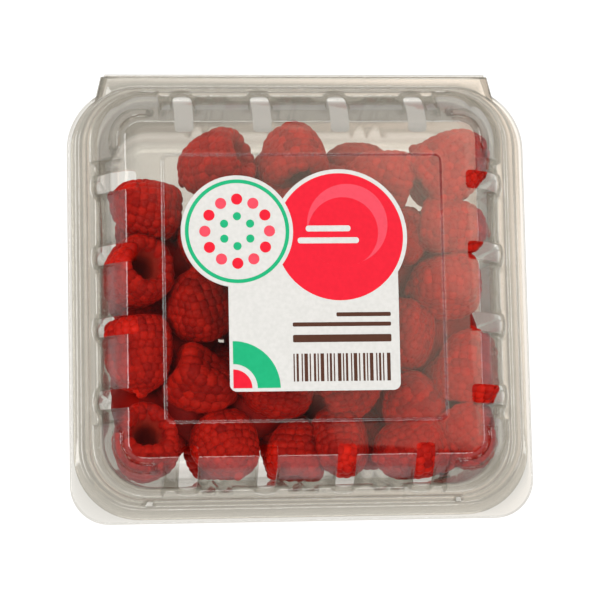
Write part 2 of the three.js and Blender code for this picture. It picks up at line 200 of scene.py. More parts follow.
class Nodes:
    """Adds and joins the nodes of one tree."""

    def __init__(self, tree: bpy.types.NodeTree) -> None:
        """Keeps the tree and empties it."""
        self.tree = tree
        tree.nodes.clear()

    def add(self, kind: str, inputs: dict[Any, Any] | None = None, **settings: Any) -> bpy.types.Node:
        """Adds a node.

        Args:
            kind: The node's type name.
            inputs: Values or sockets for the node's inputs, by name or number.
            **settings: The node's own settings.

        Returns:
            The new node.
        """
        node = self.tree.nodes.new(kind)
        for name, value in settings.items():
            setattr(node, name, value)
        for key, value in (inputs or {}).items():
            if isinstance(value, bpy.types.NodeSocket):
                self.tree.links.new(value, node.inputs[key])
            else:
                node.inputs[key].default_value = value
        return node

    def math(self, operation: str, *values: Any) -> bpy.types.NodeSocket:
        """Adds a Math node.

        Args:
            operation: What it works out.
            *values: Its numbers or sockets.

        Returns:
            Its output socket.
        """
        return self.add("ShaderNodeMath", dict(enumerate(values)), operation=operation).outputs[0]

    def ramp(
        self, value: bpy.types.NodeSocket, low: float, high: float, start: float, end: float
    ) -> bpy.types.NodeSocket:
        """Maps a number from one range to another, clamped.

        Args:
            value: The number's socket.
            low: The value that gives start.
            high: The value that gives end.
            start: The result at low.
            end: The result at high.

        Returns:
            The output socket.
        """
        return self.add("ShaderNodeMapRange", {0: value, 1: low, 2: high, 3: start, 4: end}).outputs[0]

    def blend(self, share: Any, first: Any, second: Any) -> bpy.types.NodeSocket:
        """Mixes two colours.

        Args:
            share: How much of the second colour.
            first: The first colour or socket.
            second: The second colour or socket.

        Returns:
            The mixed colour's socket.
        """
        node = self.add("ShaderNodeMix", {0: share}, data_type="RGBA")
        for number, colour in ((6, first), (7, second)):
            if isinstance(colour, bpy.types.NodeSocket):
                self.tree.links.new(colour, node.inputs[number])
            else:
                node.inputs[number].default_value = (*colour, 1.0)
        return node.outputs[2]


def new_material(name: str) -> tuple[bpy.types.Material, Nodes]:
    """Makes an empty node material.

    Args:
        name: Its name.

    Returns:
        The material and the maker of its nodes.
    """
    material = bpy.data.materials.new(name)
    material.use_nodes = True
    return material, Nodes(material.node_tree)


# Finishes


@dataclass(frozen=True)
class ClearSheet:
    """Thin clear plastic: a warm tint that deepens where the sheet is seen edge on, with painted shade
    where it bends.
    """

    name: str = "clear_sheet"
    tint: Colour = (0.880, 0.868, 0.840)
    edge_tint: Colour = (0.42, 0.40, 0.36)
    # painted shade: a darker tint laid on the sheet's bends, in place of the dark lines that refraction
    # makes there
    bend_painted_shade: Colour = (0.65, 0.635, 0.60)
    edge_power: float = 1.8
    face_reflection: float = 0.04
    gloss_power: float = 5.0
    roughness: float = 0.07
    ripple_scale: float = 55.0
    ripple_depth: float = 0.00006

    def make(self) -> bpy.types.Material:
        """Builds the material."""
        material, nodes = new_material(self.name)
        place = nodes.add("ShaderNodeTexCoord").outputs["Object"]
        facing = nodes.add("ShaderNodeLayerWeight", {"Blend": 0.5}).outputs["Facing"]
        bend = nodes.add("ShaderNodeAttribute", attribute_name="bend").outputs["Fac"]
        edge = nodes.math("POWER", facing, self.edge_power)
        tint = nodes.blend(edge, self.tint, self.edge_tint)
        # painted shade along the bends, read from the bend attribute
        tint = nodes.blend(bend, tint, self.bend_painted_shade)
        gloss_share = nodes.math("POWER", facing, self.gloss_power)
        gloss_share = nodes.ramp(gloss_share, 0.0, 1.0, self.face_reflection, 1.0)
        ripple = nodes.add(
            "ShaderNodeTexNoise",
            {"Vector": place, "Scale": self.ripple_scale, "Detail": 2.0},
        ).outputs["Fac"]
        bump = nodes.add(
            "ShaderNodeBump",
            {"Strength": 1.0, "Distance": self.ripple_depth, "Height": ripple},
        ).outputs[0]
        clear = nodes.add("ShaderNodeBsdfTransparent", {"Color": tint}).outputs[0]
        gloss = nodes.add(
            "ShaderNodeBsdfGlossy",
            {"Color": (1, 1, 1, 1), "Roughness": self.roughness, "Normal": bump},
        ).outputs[0]
        mixed = nodes.add("ShaderNodeMixShader", {0: gloss_share, 1: clear, 2: gloss}).outputs[0]
        nodes.add("ShaderNodeOutputMaterial", {"Surface": mixed})
        return material


@dataclass(frozen=True)
class BerrySkin:
    """Soft red skin with a pale bloom; its tone varies between drupelets and within them."""

    name: str = "berry_skin"
    deep: Colour = (0.26, 0.003, 0.002)
    bright: Colour = (0.58, 0.012, 0.004)
    hollow: Colour = (0.34, 0.022, 0.012)
    mottle_share: float = 0.7
    mottle_scale: float = 420.0
    grain_scale: float = 2600.0
    grain_depth: float = 0.00009

    def make(self) -> bpy.types.Material:
        """Builds the material."""
        material, nodes = new_material(self.name)
        place = nodes.add("ShaderNodeTexCoord").outputs["Object"]
        tone = nodes.add("ShaderNodeAttribute", attribute_name="tone").outputs["Fac"]
        hollow = nodes.add("ShaderNodeAttribute", attribute_name="hollow").outputs["Fac"]
        mottle = nodes.add(
            "ShaderNodeTexNoise",
            {"Vector": place, "Scale": self.mottle_scale, "Detail": 3.0},
        ).outputs["Fac"]
        share = nodes.math("SUBTRACT", tone, self.mottle_share / 2)
        share = nodes.math("MULTIPLY_ADD", mottle, self.mottle_share, share)
        colour = nodes.blend(share, self.deep, self.bright)
        colour = nodes.blend(hollow, colour, self.hollow)
        grain = nodes.add(
            "ShaderNodeTexNoise",
            {"Vector": place, "Scale": self.grain_scale, "Detail": 2.0},
        ).outputs["Fac"]
        bump = nodes.add(
            "ShaderNodeBump",
            {"Strength": 0.6, "Distance": self.grain_depth, "Height": grain},
        ).outputs[0]
        skin = nodes.add(
            "ShaderNodeBsdfPrincipled",
            {
                "Base Color": colour,
                "Roughness": nodes.ramp(grain, 0.3, 0.7, 0.42, 0.58),
                "Normal": bump,
                "Subsurface Weight": 0.25,
                "Subsurface Radius": (1.0, 0.25, 0.12),
                "Subsurface Scale": 0.0012,
                "Specular IOR Level": 0.10,
                "Sheen Weight": 0.02,
                "Sheen Roughness": 0.45,
                "Sheen Tint": (1.0, 0.45, 0.38, 1.0),
            },
        ).outputs[0]
        nodes.add("ShaderNodeOutputMaterial", {"Surface": skin})
        return material


@dataclass(frozen=True)
class Paper:
    """Coated paper or an ink on it, with a faint fibre."""

    name: str
    colour: Colour
    roughness: float = 0.42
    fibre_scale: float = 900.0
    fibre_shade: float = 0.93
    gloss: float = 0.2

    def make(self) -> bpy.types.Material:
        """Builds the material."""
        material, nodes = new_material(self.name)
        place = nodes.add("ShaderNodeTexCoord").outputs["Object"]
        fibre = nodes.add(
            "ShaderNodeTexNoise",
            {"Vector": place, "Scale": self.fibre_scale, "Detail": 4.0},
        ).outputs["Fac"]
        darker = tuple(self.fibre_shade * channel for channel in self.colour)
        colour = nodes.blend(nodes.ramp(fibre, 0.35, 0.65, 0.0, 1.0), darker, self.colour)
        bump = nodes.add(
            "ShaderNodeBump",
            {"Strength": 0.5, "Distance": 0.00003, "Height": fibre},
        ).outputs[0]
        sheet = nodes.add(
            "ShaderNodeBsdfPrincipled",
            {
                "Base Color": colour,
                "Roughness": nodes.ramp(fibre, 0.3, 0.7, self.roughness - 0.05, self.roughness + 0.05),
                "Specular IOR Level": self.gloss,
                "Normal": bump,
            },
        ).outputs[0]
        nodes.add("ShaderNodeOutputMaterial", {"Surface": sheet})
        return material


# Outlines seen from above


@dataclass(frozen=True)
class SideMarks:
    """Where an outline has points along its straight sides, and how far each stands out."""

    along_x: np.ndarray
    out_x: np.ndarray
    along_y: np.ndarray
    out_y: np.ndarray
    corner_steps: int = 20


def bow_marks(places: tuple[float, ...], half_width: float, count: int) -> np.ndarray:
    """Places for points over half-round forms, closer together towards each form's edges.

    Args:
        places: The forms' middles.
        half_width: Half the width of each.
        count: The number of points over each.

    Returns:
        The places of all the points.
    """
    offsets = half_width * np.sin(np.linspace(-QUARTER_TURN, QUARTER_TURN, count))
    return (np.array(places)[:, None] + offsets).ravel()


def clear_marks(
    low: float, high: float, count: int, places: tuple[float, ...], half_width: float, gap: float = 0.3
) -> np.ndarray:
    """Evenly spaced places along a side, without those on or close to the half-round forms.

    Args:
        low: Where the side starts.
        high: Where it ends.
        count: The number of places before any is left out.
        places: The forms' middles.
        half_width: Half the width of each.
        gap: How close to a form a place may be.

    Returns:
        The places that are left.
    """
    even = np.linspace(low, high, count)
    away = np.abs(even[:, None] - np.array(places)).min(axis=1)
    return even[away > half_width + gap]


@dataclass(frozen=True)
class Outline:
    """A rounded rectangle, centred on x; front_radius is 0 where all corners are alike."""

    half_x: float
    front: float
    back: float
    radius: float
    front_radius: float = 0.0

    def grown(self, by: float) -> "Outline":
        """The outline a distance further out."""
        return Outline(
            self.half_x + by,
            self.front - by,
            self.back + by,
            self.radius + by,
            self.front_radius + by if self.front_radius else 0.0,
        )

    def blended(self, other: "Outline", share: float) -> "Outline":
        """The outline a share of the way to another."""
        return Outline(
            self.half_x + (other.half_x - self.half_x) * share,
            self.front + (other.front - self.front) * share,
            self.back + (other.back - self.back) * share,
            self.radius + (other.radius - self.radius) * share,
        )

    def ring(self, marks: SideMarks, relief: float = 0.0) -> np.ndarray:
        """The outline's points, counter-clockwise from the front's left end.

        Args:
            marks: The places of the points along the sides.
            relief: The share of the marks' outward distances that is used.

        Returns:
            Rows of x and y.
        """
        front_radius = self.front_radius or self.radius
        left, right = self.half_x - self.radius, self.half_x - front_radius
        front_x = self._spread(marks.along_x, -right, right)
        back_x = self._spread(marks.along_x, -left, left)
        y = self._spread(marks.along_y, self.front + front_radius, self.back - self.radius)
        out_x = marks.out_x * relief
        out_y = marks.out_y * relief
        return np.vstack([
            np.column_stack([front_x, self.front - out_x]),
            self._arc(right, self.front + front_radius, front_radius, -1, marks.corner_steps),
            np.column_stack([self.half_x + out_y, y]),
            self._arc(left, self.back - self.radius, self.radius, 0, marks.corner_steps),
            np.column_stack([-back_x, self.back + out_x]),
            self._arc(-left, self.back - self.radius, self.radius, 1, marks.corner_steps),
            np.column_stack([-self.half_x - out_y[::-1], y[::-1]]),
            self._arc(-right, self.front + front_radius, front_radius, 2, marks.corner_steps),
        ])

    def corners(self, steps: int) -> np.ndarray:
        """The outline drawn by its four round corners alone, counter-clockwise."""
        radius = self.radius
        x, low, high = self.half_x - radius, self.front + radius, self.back - radius
        return np.vstack([
            self._arc(x, low, radius, -1, steps),
            self._arc(x, high, radius, 0, steps),
            self._arc(-x, high, radius, 1, steps),
            self._arc(-x, low, radius, 2, steps),
        ])

    @staticmethod
    def _spread(
        marks: np.ndarray, start: float, end: float, kept: float = 2.6, margin: float = 0.2
    ) -> np.ndarray:
        """Moves the marks nearest to the corners so that they reach this outline's straight ends.

        Args:
            marks: Places along the side, in rising order.
            start: Where the straight stretch starts.
            end: Where it ends.
            kept: How near an end a mark has to be to be moved.
            margin: How far from the ends of the straight stretch the first and last marks stay.

        Returns:
            The places on this outline.
        """
        low, high = marks[0], marks[-1]
        first, last = start + margin, end - margin
        return np.interp(
            marks,
            [low, low + kept, high - kept, high],
            [first, max(low + kept, first + kept / 2), min(high - kept, last - kept / 2), last],
        )

    @staticmethod
    def _arc(x: float, y: float, radius: float, quarter: int, steps: int) -> np.ndarray:
        """A quarter circle that starts at the given number of quarter turns."""
        angle = QUARTER_TURN * (quarter + np.linspace(0, 1, steps + 1))
        return np.column_stack([x + radius * np.cos(angle), y + radius * np.sin(angle)])


@dataclass(frozen=True)
class Level:
    """One bend or edge of a formed sheet.

    Attributes:
        outline: Its outline from above.
        z: Its height.
        fillet: How far its rounding reaches to either side.
        relief: The share of the side marks' outward distances that it takes.
        steps: The number of rings that lead to it.
        strip: How far inside the hinge strip's edge its back lies, or 0 where it has no strip.
    """

    outline: Outline
    z: float
    fillet: float = 0.3
    relief: float = 0.0
    steps: int = 1
    strip: float = 0.0


@dataclass
class HingeStrip:
    """The straight strip along the back edge, where the sheet folds."""

    edge: float = 60.3
    half_width: float = 53.2

    def widen(self, ring: np.ndarray, inset: float) -> np.ndarray:
        """Moves the back of a ring out to the strip's edge.

        Args:
            ring: Rows of x and y.
            inset: How far inside the strip's edge this ring lies.

        Returns:
            The widened ring.
        """
        widened = ring.copy()
        at_back = (np.abs(ring[:, 0]) <= self.half_width - inset) & (ring[:, 1] > 0)
        widened[at_back, 1] = self.edge - inset
        return widened


@dataclass
class FormedSheet:
    """A thin sheet drawn over rings of points, from its edge to its middle.

    Attributes:
        name: The piece's name.
        thickness: The sheet's thickness.
        fillet_steps: The number of rings in a rounded bend.
        flat_turn: The angle between facets, in radians, up to which they count as flat.
        sharp_turn: The angle from which they count as a full bend.
        level_share: How strongly a bend along a ring gets the painted shade, against one across it.
        middle_shares: Where the rings lie between the last bend and the middle.
        strip: The hinge strip at the back.
    """

    name: str
    thickness: float = 0.38
    fillet_steps: int = 3
    flat_turn: float = 0.08
    sharp_turn: float = 0.34
    level_share: float = 0.30
    middle_shares: tuple[float, ...] = (0.25, 0.5, 0.75)
    strip: HingeStrip = field(default_factory=HingeStrip)

    def levels(self) -> list[Level]:
        """The sheet's bends from its edge to its middle."""
        raise NotImplementedError

    def marks(self) -> SideMarks:
        """The places of the points along the sides."""
        raise NotImplementedError

    def formed(self, points: np.ndarray) -> np.ndarray:
        """Adds local forms to the surface; the plain sheet has none."""
        return points

    def key_rings(self) -> np.ndarray:
        """One ring of points in space for each level."""
        marks = self.marks()
        rings = []
        for level in self.levels():
            flat = level.outline.ring(marks, level.relief)
            if level.strip:
                flat = self.strip.widen(flat, level.strip)
            rings.append(np.column_stack([flat, np.full(len(flat), level.z)]))
        return np.array(rings)

    def rings(self) -> np.ndarray:
        """Rounds the bends and closes up towards the middle; all rings, from the edge inwards."""
        keys = self.key_rings()
        levels = self.levels()
        rings = [keys[0]]
        for index in range(1, len(keys)):
            start, end = rings[-1], keys[index]
            fillet = levels[index].fillet
            last = index + 1 == len(keys)
            if not last:
                end = self._towards(keys[index], keys[index - 1], fillet)
            steps = levels[index].steps
            for step in range(1, steps + 1):
                rings.append(start + (end - start) * step / steps)
            if last:
                continue
            leave = self._towards(keys[index], keys[index + 1], fillet)
            for step in range(1, self.fillet_steps + 1):
                t = step / self.fillet_steps
                rings.append((1 - t) ** 2 * end + 2 * t * (1 - t) * keys[index] + t * t * leave)
        middle = rings[-1].mean(axis=0)
        outermost = rings[-1]
        for share in self.middle_shares:
            rings.append(outermost + (middle - outermost) * share)
        return np.array(rings)

    def bends(self, grid: np.ndarray) -> np.ndarray:
        """How sharply the sheet bends at each point.

        Args:
            grid: The points as rings of x, y and z.

        Returns:
            For each point a share from 0 to 1.
        """
        around = np.roll(grid, -1, axis=1) - np.roll(grid, 1, axis=1)
        normal = np.cross(around, np.gradient(grid, axis=0))
        normal /= np.maximum(np.linalg.norm(normal, axis=2, keepdims=True), 1e-9)
        around = (normal * np.roll(normal, -1, axis=1)).sum(axis=2)
        inward = np.ones(grid.shape[:2])
        inward[:-1] = (normal[:-1] * normal[1:]).sum(axis=2)
        level = self.sharpness(np.minimum(inward, np.roll(inward, 1, axis=0)))
        side = self.sharpness(np.minimum(around, np.roll(around, 1, axis=1)))
        return np.maximum(self.level_share * level, side)

    def sharpness(self, cosine: np.ndarray) -> np.ndarray:
        """The share from 0 to 1 that a turn between two facets counts for."""
        turn = np.arccos(np.clip(cosine, -1, 1))
        return smooth_step((turn - self.flat_turn) / (self.sharp_turn - self.flat_turn))

    @staticmethod
    def _towards(here: np.ndarray, there: np.ndarray, distance: float) -> np.ndarray:
        """Points a distance from here towards there, at most 45 percent of the way."""
        way = there - here
        length = np.linalg.norm(way, axis=1, keepdims=True)
        return here + way * np.minimum(0.45, distance / np.maximum(length, 1e-6))

    def surface(self, upwards: bool) -> bpy.types.Object:
        """Makes the sheet's outer surface with its bends marked for the painted shade.

        Args:
            upwards: Whether the outer surface of the middle faces up.

        Returns:
            The open surface.
        """
        rings = self.rings()
        rows, count = rings.shape[:2]
        points = self.formed(rings.reshape(-1, 3))
        bends = self.bends(points.reshape(rows, count, 3))
        centre = points[-count:].mean(axis=0)
        faces = []
        for row in range(rows - 1):
            here = row * count
            for step in range(count):
                following = (step + 1) % count
                quad = (here + step, here + following, here + count + following, here + count + step)
                faces.append(quad if upwards else quad[::-1])
        last = (rows - 1) * count
        for step in range(count):
            triangle = (last + step, last + (step + 1) % count, rows * count)
            faces.append(triangle if upwards else triangle[::-1])
        made = mesh_object(self.name, np.vstack([points, centre]), faces)
        point_attribute(made.data, "bend", np.append(bends.ravel(), 0.0))
        return made

    def thickened(self, surface: bpy.types.Object) -> None:
        """Gives an outer surface the sheet's thickness on its inner side."""
        solidify = surface.modifiers.new("sheet", "SOLIDIFY")
        solidify.thickness = self.thickness * MM
        solidify.offset = -1

    def settle(self, piece: bpy.types.Object, finish: bpy.types.Material, body: Body) -> None:
        """Shades a finished sheet, and puts it on its body.

        Args:
            piece: The sheet.
            finish: Its material.
            body: What it rides on.
        """
        piece.data.materials.clear()
        piece.data.materials.append(finish)
        piece.data.shade_smooth()
        piece.data.set_sharp_from_angle(angle=SHARP_ANGLE)
        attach(piece, body.value)
        report(piece)


@dataclass
class FormedTray(FormedSheet):
    """The tray: flange with its bead, fluted walls and a floor with a raised middle."""

    name: str = "formed_tray"
    flange: Outline = Outline(61.3, -59.6, 57.4, 17.5)
    mouth: Outline = Outline(53.8, -51.5, 53.6, 13.0)
    floor: Outline = Outline(50.2, -47.9, 49.9, 11.0)
    bead_outer: Outline = Outline(58.4, -55.4, 56.9, 15.6)
    bead_inner: Outline = Outline(57.1, -54.4, 56.4, 14.8)
    flange_base: float = 28.8
    bead_rise: float = 0.95
    flute_places_x: tuple[float, ...] = (-25.4, -20.9, -2.2, 2.2, 20.9, 25.4)
    flute_places_y: tuple[float, ...] = (-28.05, -8.75, 10.55, 29.85)
    flute_half_width: float = 2.1
    flute_depth: float = 1.3
    flute_marks: int = 11
    even_marks: int = 34
    corner_marks: int = 14
    straight_x: float = 38.8
    straight_y: tuple[float, float] = (-36.6, 38.6)

    def flutes(self, at: np.ndarray, places: tuple[float, ...]) -> np.ndarray:
        """How far the half-round flutes stand out.

        Args:
            at: Places along a side.
            places: The flutes' middles.

        Returns:
            The outward distance at each place.
        """
        across = np.abs(at[:, None] - np.array(places)[None]) / self.flute_half_width
        return self.flute_depth * np.sqrt(np.clip(1 - across ** 2, 0, 1)).max(axis=1)

    def marks(self) -> SideMarks:
        """Close points over the flutes, wider ones between them."""

        def along(low: float, high: float, places: tuple[float, ...]) -> np.ndarray:
            """Even marks with those of the flutes added."""
            close = bow_marks(places, self.flute_half_width, self.flute_marks)
            clear = clear_marks(low, high, self.even_marks, places, self.flute_half_width)
            return np.unique(np.round(np.concatenate([clear, close, [low, high]]), 3))

        x = along(-self.straight_x, self.straight_x, self.flute_places_x)
        y = along(*self.straight_y, self.flute_places_y)
        out_x = self.flutes(x, self.flute_places_x)
        out_y = self.flutes(y, self.flute_places_y)
        return SideMarks(x, out_x, y, out_y, self.corner_marks)

    def levels(self) -> list[Level]:
        """From the flange's edge down the wall and over the floor, on the outer side of the sheet."""
        base, top = self.flange_base, self.flange_base + self.bead_rise
        wall = self.floor.blended
        return [
            Level(self.flange, base - 0.2, strip=0.01),
            Level(self.flange.grown(-0.4), base, 0.15, strip=0.4),
            Level(self.flange.grown(-0.8), base, 0.1, strip=0.8),
            Level(self.bead_outer.grown(0.1), base, 0.25),
            Level(self.bead_outer.grown(-0.1), top, 0.3),
            Level(self.bead_inner.grown(0.1), top, 0.3),
            Level(self.bead_inner.grown(-0.1), base, 0.25),
            Level(wall(self.mouth, 1.0).grown(0.1), base, 0.9, 1.0, steps=2),
            Level(wall(self.mouth, 0.14), 4.0, 0.5, 1.0, steps=10),
            Level(wall(self.mouth, 0.07), 2.2, 0.9, 0.4, steps=2),
            Level(self.floor.grown(-1.9), 0.0, 0.8, steps=2),
            Level(self.floor.grown(-4.2), 0.0, 0.6),
            Level(self.floor.grown(-5.4), 0.5, 0.5),
            Level(self.floor.grown(-7.0), 0.5, 0.0),
        ]

    def build(self, finish: bpy.types.Material) -> bpy.types.Object:
        """Makes the tray and puts it in the place of its node."""
        surface = self.surface(upwards=False)
        self.thickened(surface)
        piece = finished(surface, self.name)
        self.settle(piece, finish, Body.TRAY)
        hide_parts("tray")
        return piece


@dataclass
class VentSlots:
    """The slots through the lid's edge, four on each side."""

    width: float = 5.0
    radius: float = 1.1
    pitch_x: float = 20.95
    pitch_y: float = 19.3
    middle_y: float = 0.9
    inner_inset: float = 2.7
    reach: float = 8.4
    floor: float = 32.6
    top: float = 44.0
    corner_steps: int = 5

    def places(self, pitch: float, middle: float = 0.0) -> tuple[float, ...]:
        """The four slots' middles along a side."""
        return tuple(middle + step * pitch for step in (-1.5, -0.5, 0.5, 1.5))

    @property
    def places_x(self) -> tuple[float, ...]:
        """The slots' middles along the front and back."""
        return self.places(self.pitch_x)

    @property
    def places_y(self) -> tuple[float, ...]:
        """The slots' middles along the left and right."""
        return self.places(self.pitch_y, self.middle_y)

    def cutters(self, face: Outline) -> bpy.types.Object:
        """Makes upright prisms, one through each slot.

        Args:
            face: The outline of the lid's top face.

        Returns:
            One object with all the prisms.
        """
        centres = [(place, face.back, 0.0) for place in self.places_x]
        centres += [(-place, -face.front, math.pi) for place in self.places_x]
        centres += [(place, face.half_x, QUARTER_TURN) for place in self.places_y]
        centres += [(-place, face.half_x, -QUARTER_TURN) for place in self.places_y]
        prisms = Parts()
        for place, edge, turn in centres:
            shape = Outline(self.width / 2, edge - self.inner_inset, edge + self.reach, self.radius)
            flat = shape.corners(self.corner_steps) + np.array([place, 0.0])
            cos, sin = math.cos(turn), math.sin(turn)
            flat = flat @ np.array([[cos, sin], [-sin, cos]])
            prisms.add(*prism(flat, self.floor, self.top))
        return prisms.joined("slot_cutters")


@dataclass
class CornerRibs:
    """A curved raised rib with round ends on each corner of the lid.

    Attributes:
        face: The lid's top face, whose corners the ribs follow.
        offset: How far outside the face's corner a rib's middle line runs.
        width: A rib's width.
        rise: Its height.
        end_x: Where it ends along the front and back, from the middle.
        end_y: Where it ends along the sides, from the middle of the side.
        middle_y: The middle of the sides.
        side_slope: The width of its sloping sides.
    """

    face: Outline
    offset: float = 3.1
    width: float = 2.3
    rise: float = 1.0
    end_x: float = 41.3
    end_y: float = 38.2
    middle_y: float = VentSlots.middle_y
    side_slope: float = 0.5

    def height(self, points: np.ndarray) -> np.ndarray:
        """How far the ribs lift the surface at each point.

        Args:
            points: Rows of x, y and z.

        Returns:
            The lift of each point.
        """
        x, y = np.abs(points[:, 0]), points[:, 1]
        radius = self.face.radius
        at_back = y > self.middle_y
        reach = radius + self.offset
        centre_x = self.face.half_x - radius
        centre_y = np.where(at_back, self.face.back - radius, -self.face.front - radius)
        out_y = np.where(at_back, y, -y)
        end_y = self.end_y + np.where(at_back, self.middle_y, -self.middle_y)
        u, v = x - centre_x, out_y - centre_y
        arc = np.abs(np.hypot(u, v) - reach)
        end_u = np.hypot(np.maximum(0, self.end_x - x), v - reach)
        end_v = np.hypot(np.maximum(0, end_y - out_y), u - reach)
        distance = np.where((u > 0) & (v > 0), arc, np.where(u <= 0, end_u, end_v))
        distance = np.where((u <= 0) & (v <= 0), np.minimum(end_u, end_v), distance)
        return self.rise * smooth_step((self.width / 2 + self.side_slope / 2 - distance) / self.side_slope)


@dataclass
class FormedLid(FormedSheet):
    """The lid: flange, rim, locking bar, walls with pilasters, ribbed corners and a raised panel.

    The walls stand in between the corner blocks, and each slot cuts through a half-round pilaster.
    """

    name: str = "formed_lid"
    flange: Outline = Outline(62.5, -60.9, 57.5, 17.5, 10.5)
    rim: Outline = Outline(59.8, -56.8, 57.2, 16.5)
    rim_inner: Outline = Outline(57.3, -54.6, 56.3, 15.0)
    wall_foot: Outline = Outline(56.0, -53.4, 55.9, 14.5)
    face: Outline = Outline(47.0, -43.6, 45.4, 4.0)
    panel: Outline = Outline(37.3, -34.6, 36.4, 1.8)
    flange_top: float = 30.1
    rim_top: float = 31.2
    shoulder: float = 34.0
    brow: float = 38.9
    top: float = 42.0
    panel_rise: float = 0.6
    window_inset: float = 1.3
    window_ramp: float = 0.8
    block_end_x: float = 37.9
    block_end_y: float = 35.4
    pilaster_width: float = 6.6
    pilaster_marks: int = 11
    even_marks: int = 44
    ramp_marks: int = 5
    tip_marks: int = 8
    tip_pitch: float = 0.4
    bar_half_x: float = 42.2
    bar_rise: float = 0.7
    bar_chamfer: float = 1.4
    bar_depth: float = 0.4
    bar_gap: float = 0.5
    straight_x: float = 41.2
    straight_y: tuple[float, float] = (-38.6, 39.8)
    rim_drop: float = 0.65
    slots: VentSlots = field(default_factory=VentSlots)

    @property
    def ribs(self) -> CornerRibs:
        """The ribs on the corners."""
        return CornerRibs(self.face)

    def windows(self, at: np.ndarray, end: float, middle: float, places: tuple[float, ...]) -> np.ndarray:
        """How far the wall stands out: in between the corner blocks, and level at each pilaster.

        Args:
            at: Places along a side.
            end: Half the distance between the corner blocks.
            middle: The middle of that distance.
            places: The pilasters' middles.

        Returns:
            The outward distance at each place, 0 or less.
        """
        recess = smooth_step((end - np.abs(at - middle)) / self.window_ramp)
        across = np.abs(at[:, None] - np.array(places)[None]) / (self.pilaster_width / 2)
        column = np.sqrt(np.clip(1 - across ** 2, 0, 1)).max(axis=1)
        return -self.window_inset * recess * (1 - column)

    def marks(self) -> SideMarks:
        """Close points over the pilasters, the blocks' ends and the ribs' ends."""
        half = self.pilaster_width / 2
        ramp = np.linspace(0, self.window_ramp, self.ramp_marks)
        tip = np.arange(self.tip_marks) * self.tip_pitch

        def along(
            low: float, high: float, end: float, middle: float, places: tuple[float, ...]
        ) -> np.ndarray:
            """Even marks with the close ones added."""
            close = bow_marks(places, half, self.pilaster_marks)
            clear = clear_marks(low, high, self.even_marks, places, half)
            ramps = np.concatenate([middle - end + ramp, middle + end - ramp])
            tips = np.concatenate([low + tip, high - tip])
            return np.unique(np.round(np.concatenate([clear, close, ramps, tips]), 2))

        x_places, y_places = self.slots.places_x, self.slots.places_y
        middle = self.slots.middle_y
        x = along(-self.straight_x, self.straight_x, self.block_end_x, 0.0, x_places)
        y = along(*self.straight_y, self.block_end_y, middle, y_places)
        return SideMarks(
            x,
            self.windows(x, self.block_end_x, 0.0, x_places),
            y,
            self.windows(y, self.block_end_y, middle, y_places),
        )

    def levels(self) -> list[Level]:
        """From the flange's edge over the rim, up the wall and on to the panel, on the outer side."""
        wall = self.face.blended
        foot = self.rim_top - self.rim_drop
        return [
            Level(self.flange, self.flange_top - 0.35, strip=0.01),
            Level(self.flange.grown(-0.4), self.flange_top, 0.15, strip=0.4),
            Level(self.flange.grown(-0.8), self.flange_top, 0.1, strip=0.8),
            Level(self.rim.grown(0.3), self.flange_top, 0.3),
            Level(self.rim.grown(-0.3), self.rim_top, 0.35, steps=2),
            Level(self.rim_inner.grown(0.3), self.rim_top, 0.35),
            Level(self.rim_inner.grown(-0.3), foot + 0.05, 0.25),
            Level(wall(self.wall_foot, 1.0).grown(0.15), foot, 0.3, 1.0),
            Level(wall(self.wall_foot, 0.81), self.shoulder, 1.0, 1.0, steps=3),
            Level(wall(self.wall_foot, 0.44), self.brow, 0.5, 0.6, steps=11),
            Level(wall(self.wall_foot, 0.03), self.top, 0.4, 0.0, steps=14),
            Level(self.panel.grown(1.0), self.top, 0.1, steps=3),
            Level(self.panel.grown(0.4), self.top, 0.15),
            Level(self.panel.grown(-0.2), self.top + self.panel_rise, 0.15),
            Level(self.panel.grown(-0.8), self.top + self.panel_rise, 0.1),
            Level(self.panel.grown(-1.4), self.top + self.panel_rise, 0.0),
        ]

    def formed(self, points: np.ndarray) -> np.ndarray:
        """Raises the corner ribs and the locking bar."""
        raised = points.copy()
        on_wall = (points[:, 2] > self.shoulder) & (points[:, 2] <= self.top)
        raised[:, 2] += np.where(on_wall, self.ribs.height(points), 0)
        on_rim = np.abs(points[:, 2] - self.rim_top) < self.bar_depth
        at_front = points[:, 1] < self.wall_foot.front - self.bar_gap
        along = smooth_step((self.bar_half_x - np.abs(points[:, 0])) / self.bar_chamfer)
        raised[:, 2] += np.where(on_rim & at_front, self.bar_rise * along, 0)
        return raised

    def bends(self, grid: np.ndarray) -> np.ndarray:
        """Adds the ribs' steep sides to the bends, which get the painted shade."""
        points = grid.reshape(-1, 3)
        ribs = self.ribs
        share = ribs.height(points).reshape(grid.shape[:2]) / ribs.rise
        on_wall = (grid[:, :, 2] > self.shoulder) & (grid[:, :, 2] <= self.top + ribs.rise)
        flank = np.where(on_wall, 4 * share * (1 - share), 0)
        return np.maximum(super().bends(grid), np.clip(flank, 0, 1))

    def build(self, finish: bpy.types.Material) -> bpy.types.Object:
        """Makes the lid with its slots cut, and puts it in the place of its node."""
        surface = self.surface(upwards=True)
        self.thickened(surface)
        cutters = self.slots.cutters(self.face)
        cut = surface.modifiers.new("slots", "BOOLEAN")
        cut.operation = "DIFFERENCE"
        cut.solver = "MANIFOLD"
        cut.object = cutters
        piece = finished(surface, self.name)
        discard(cutters)
        self.settle(piece, finish, Body.LID)
        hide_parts("lid")
        return piece


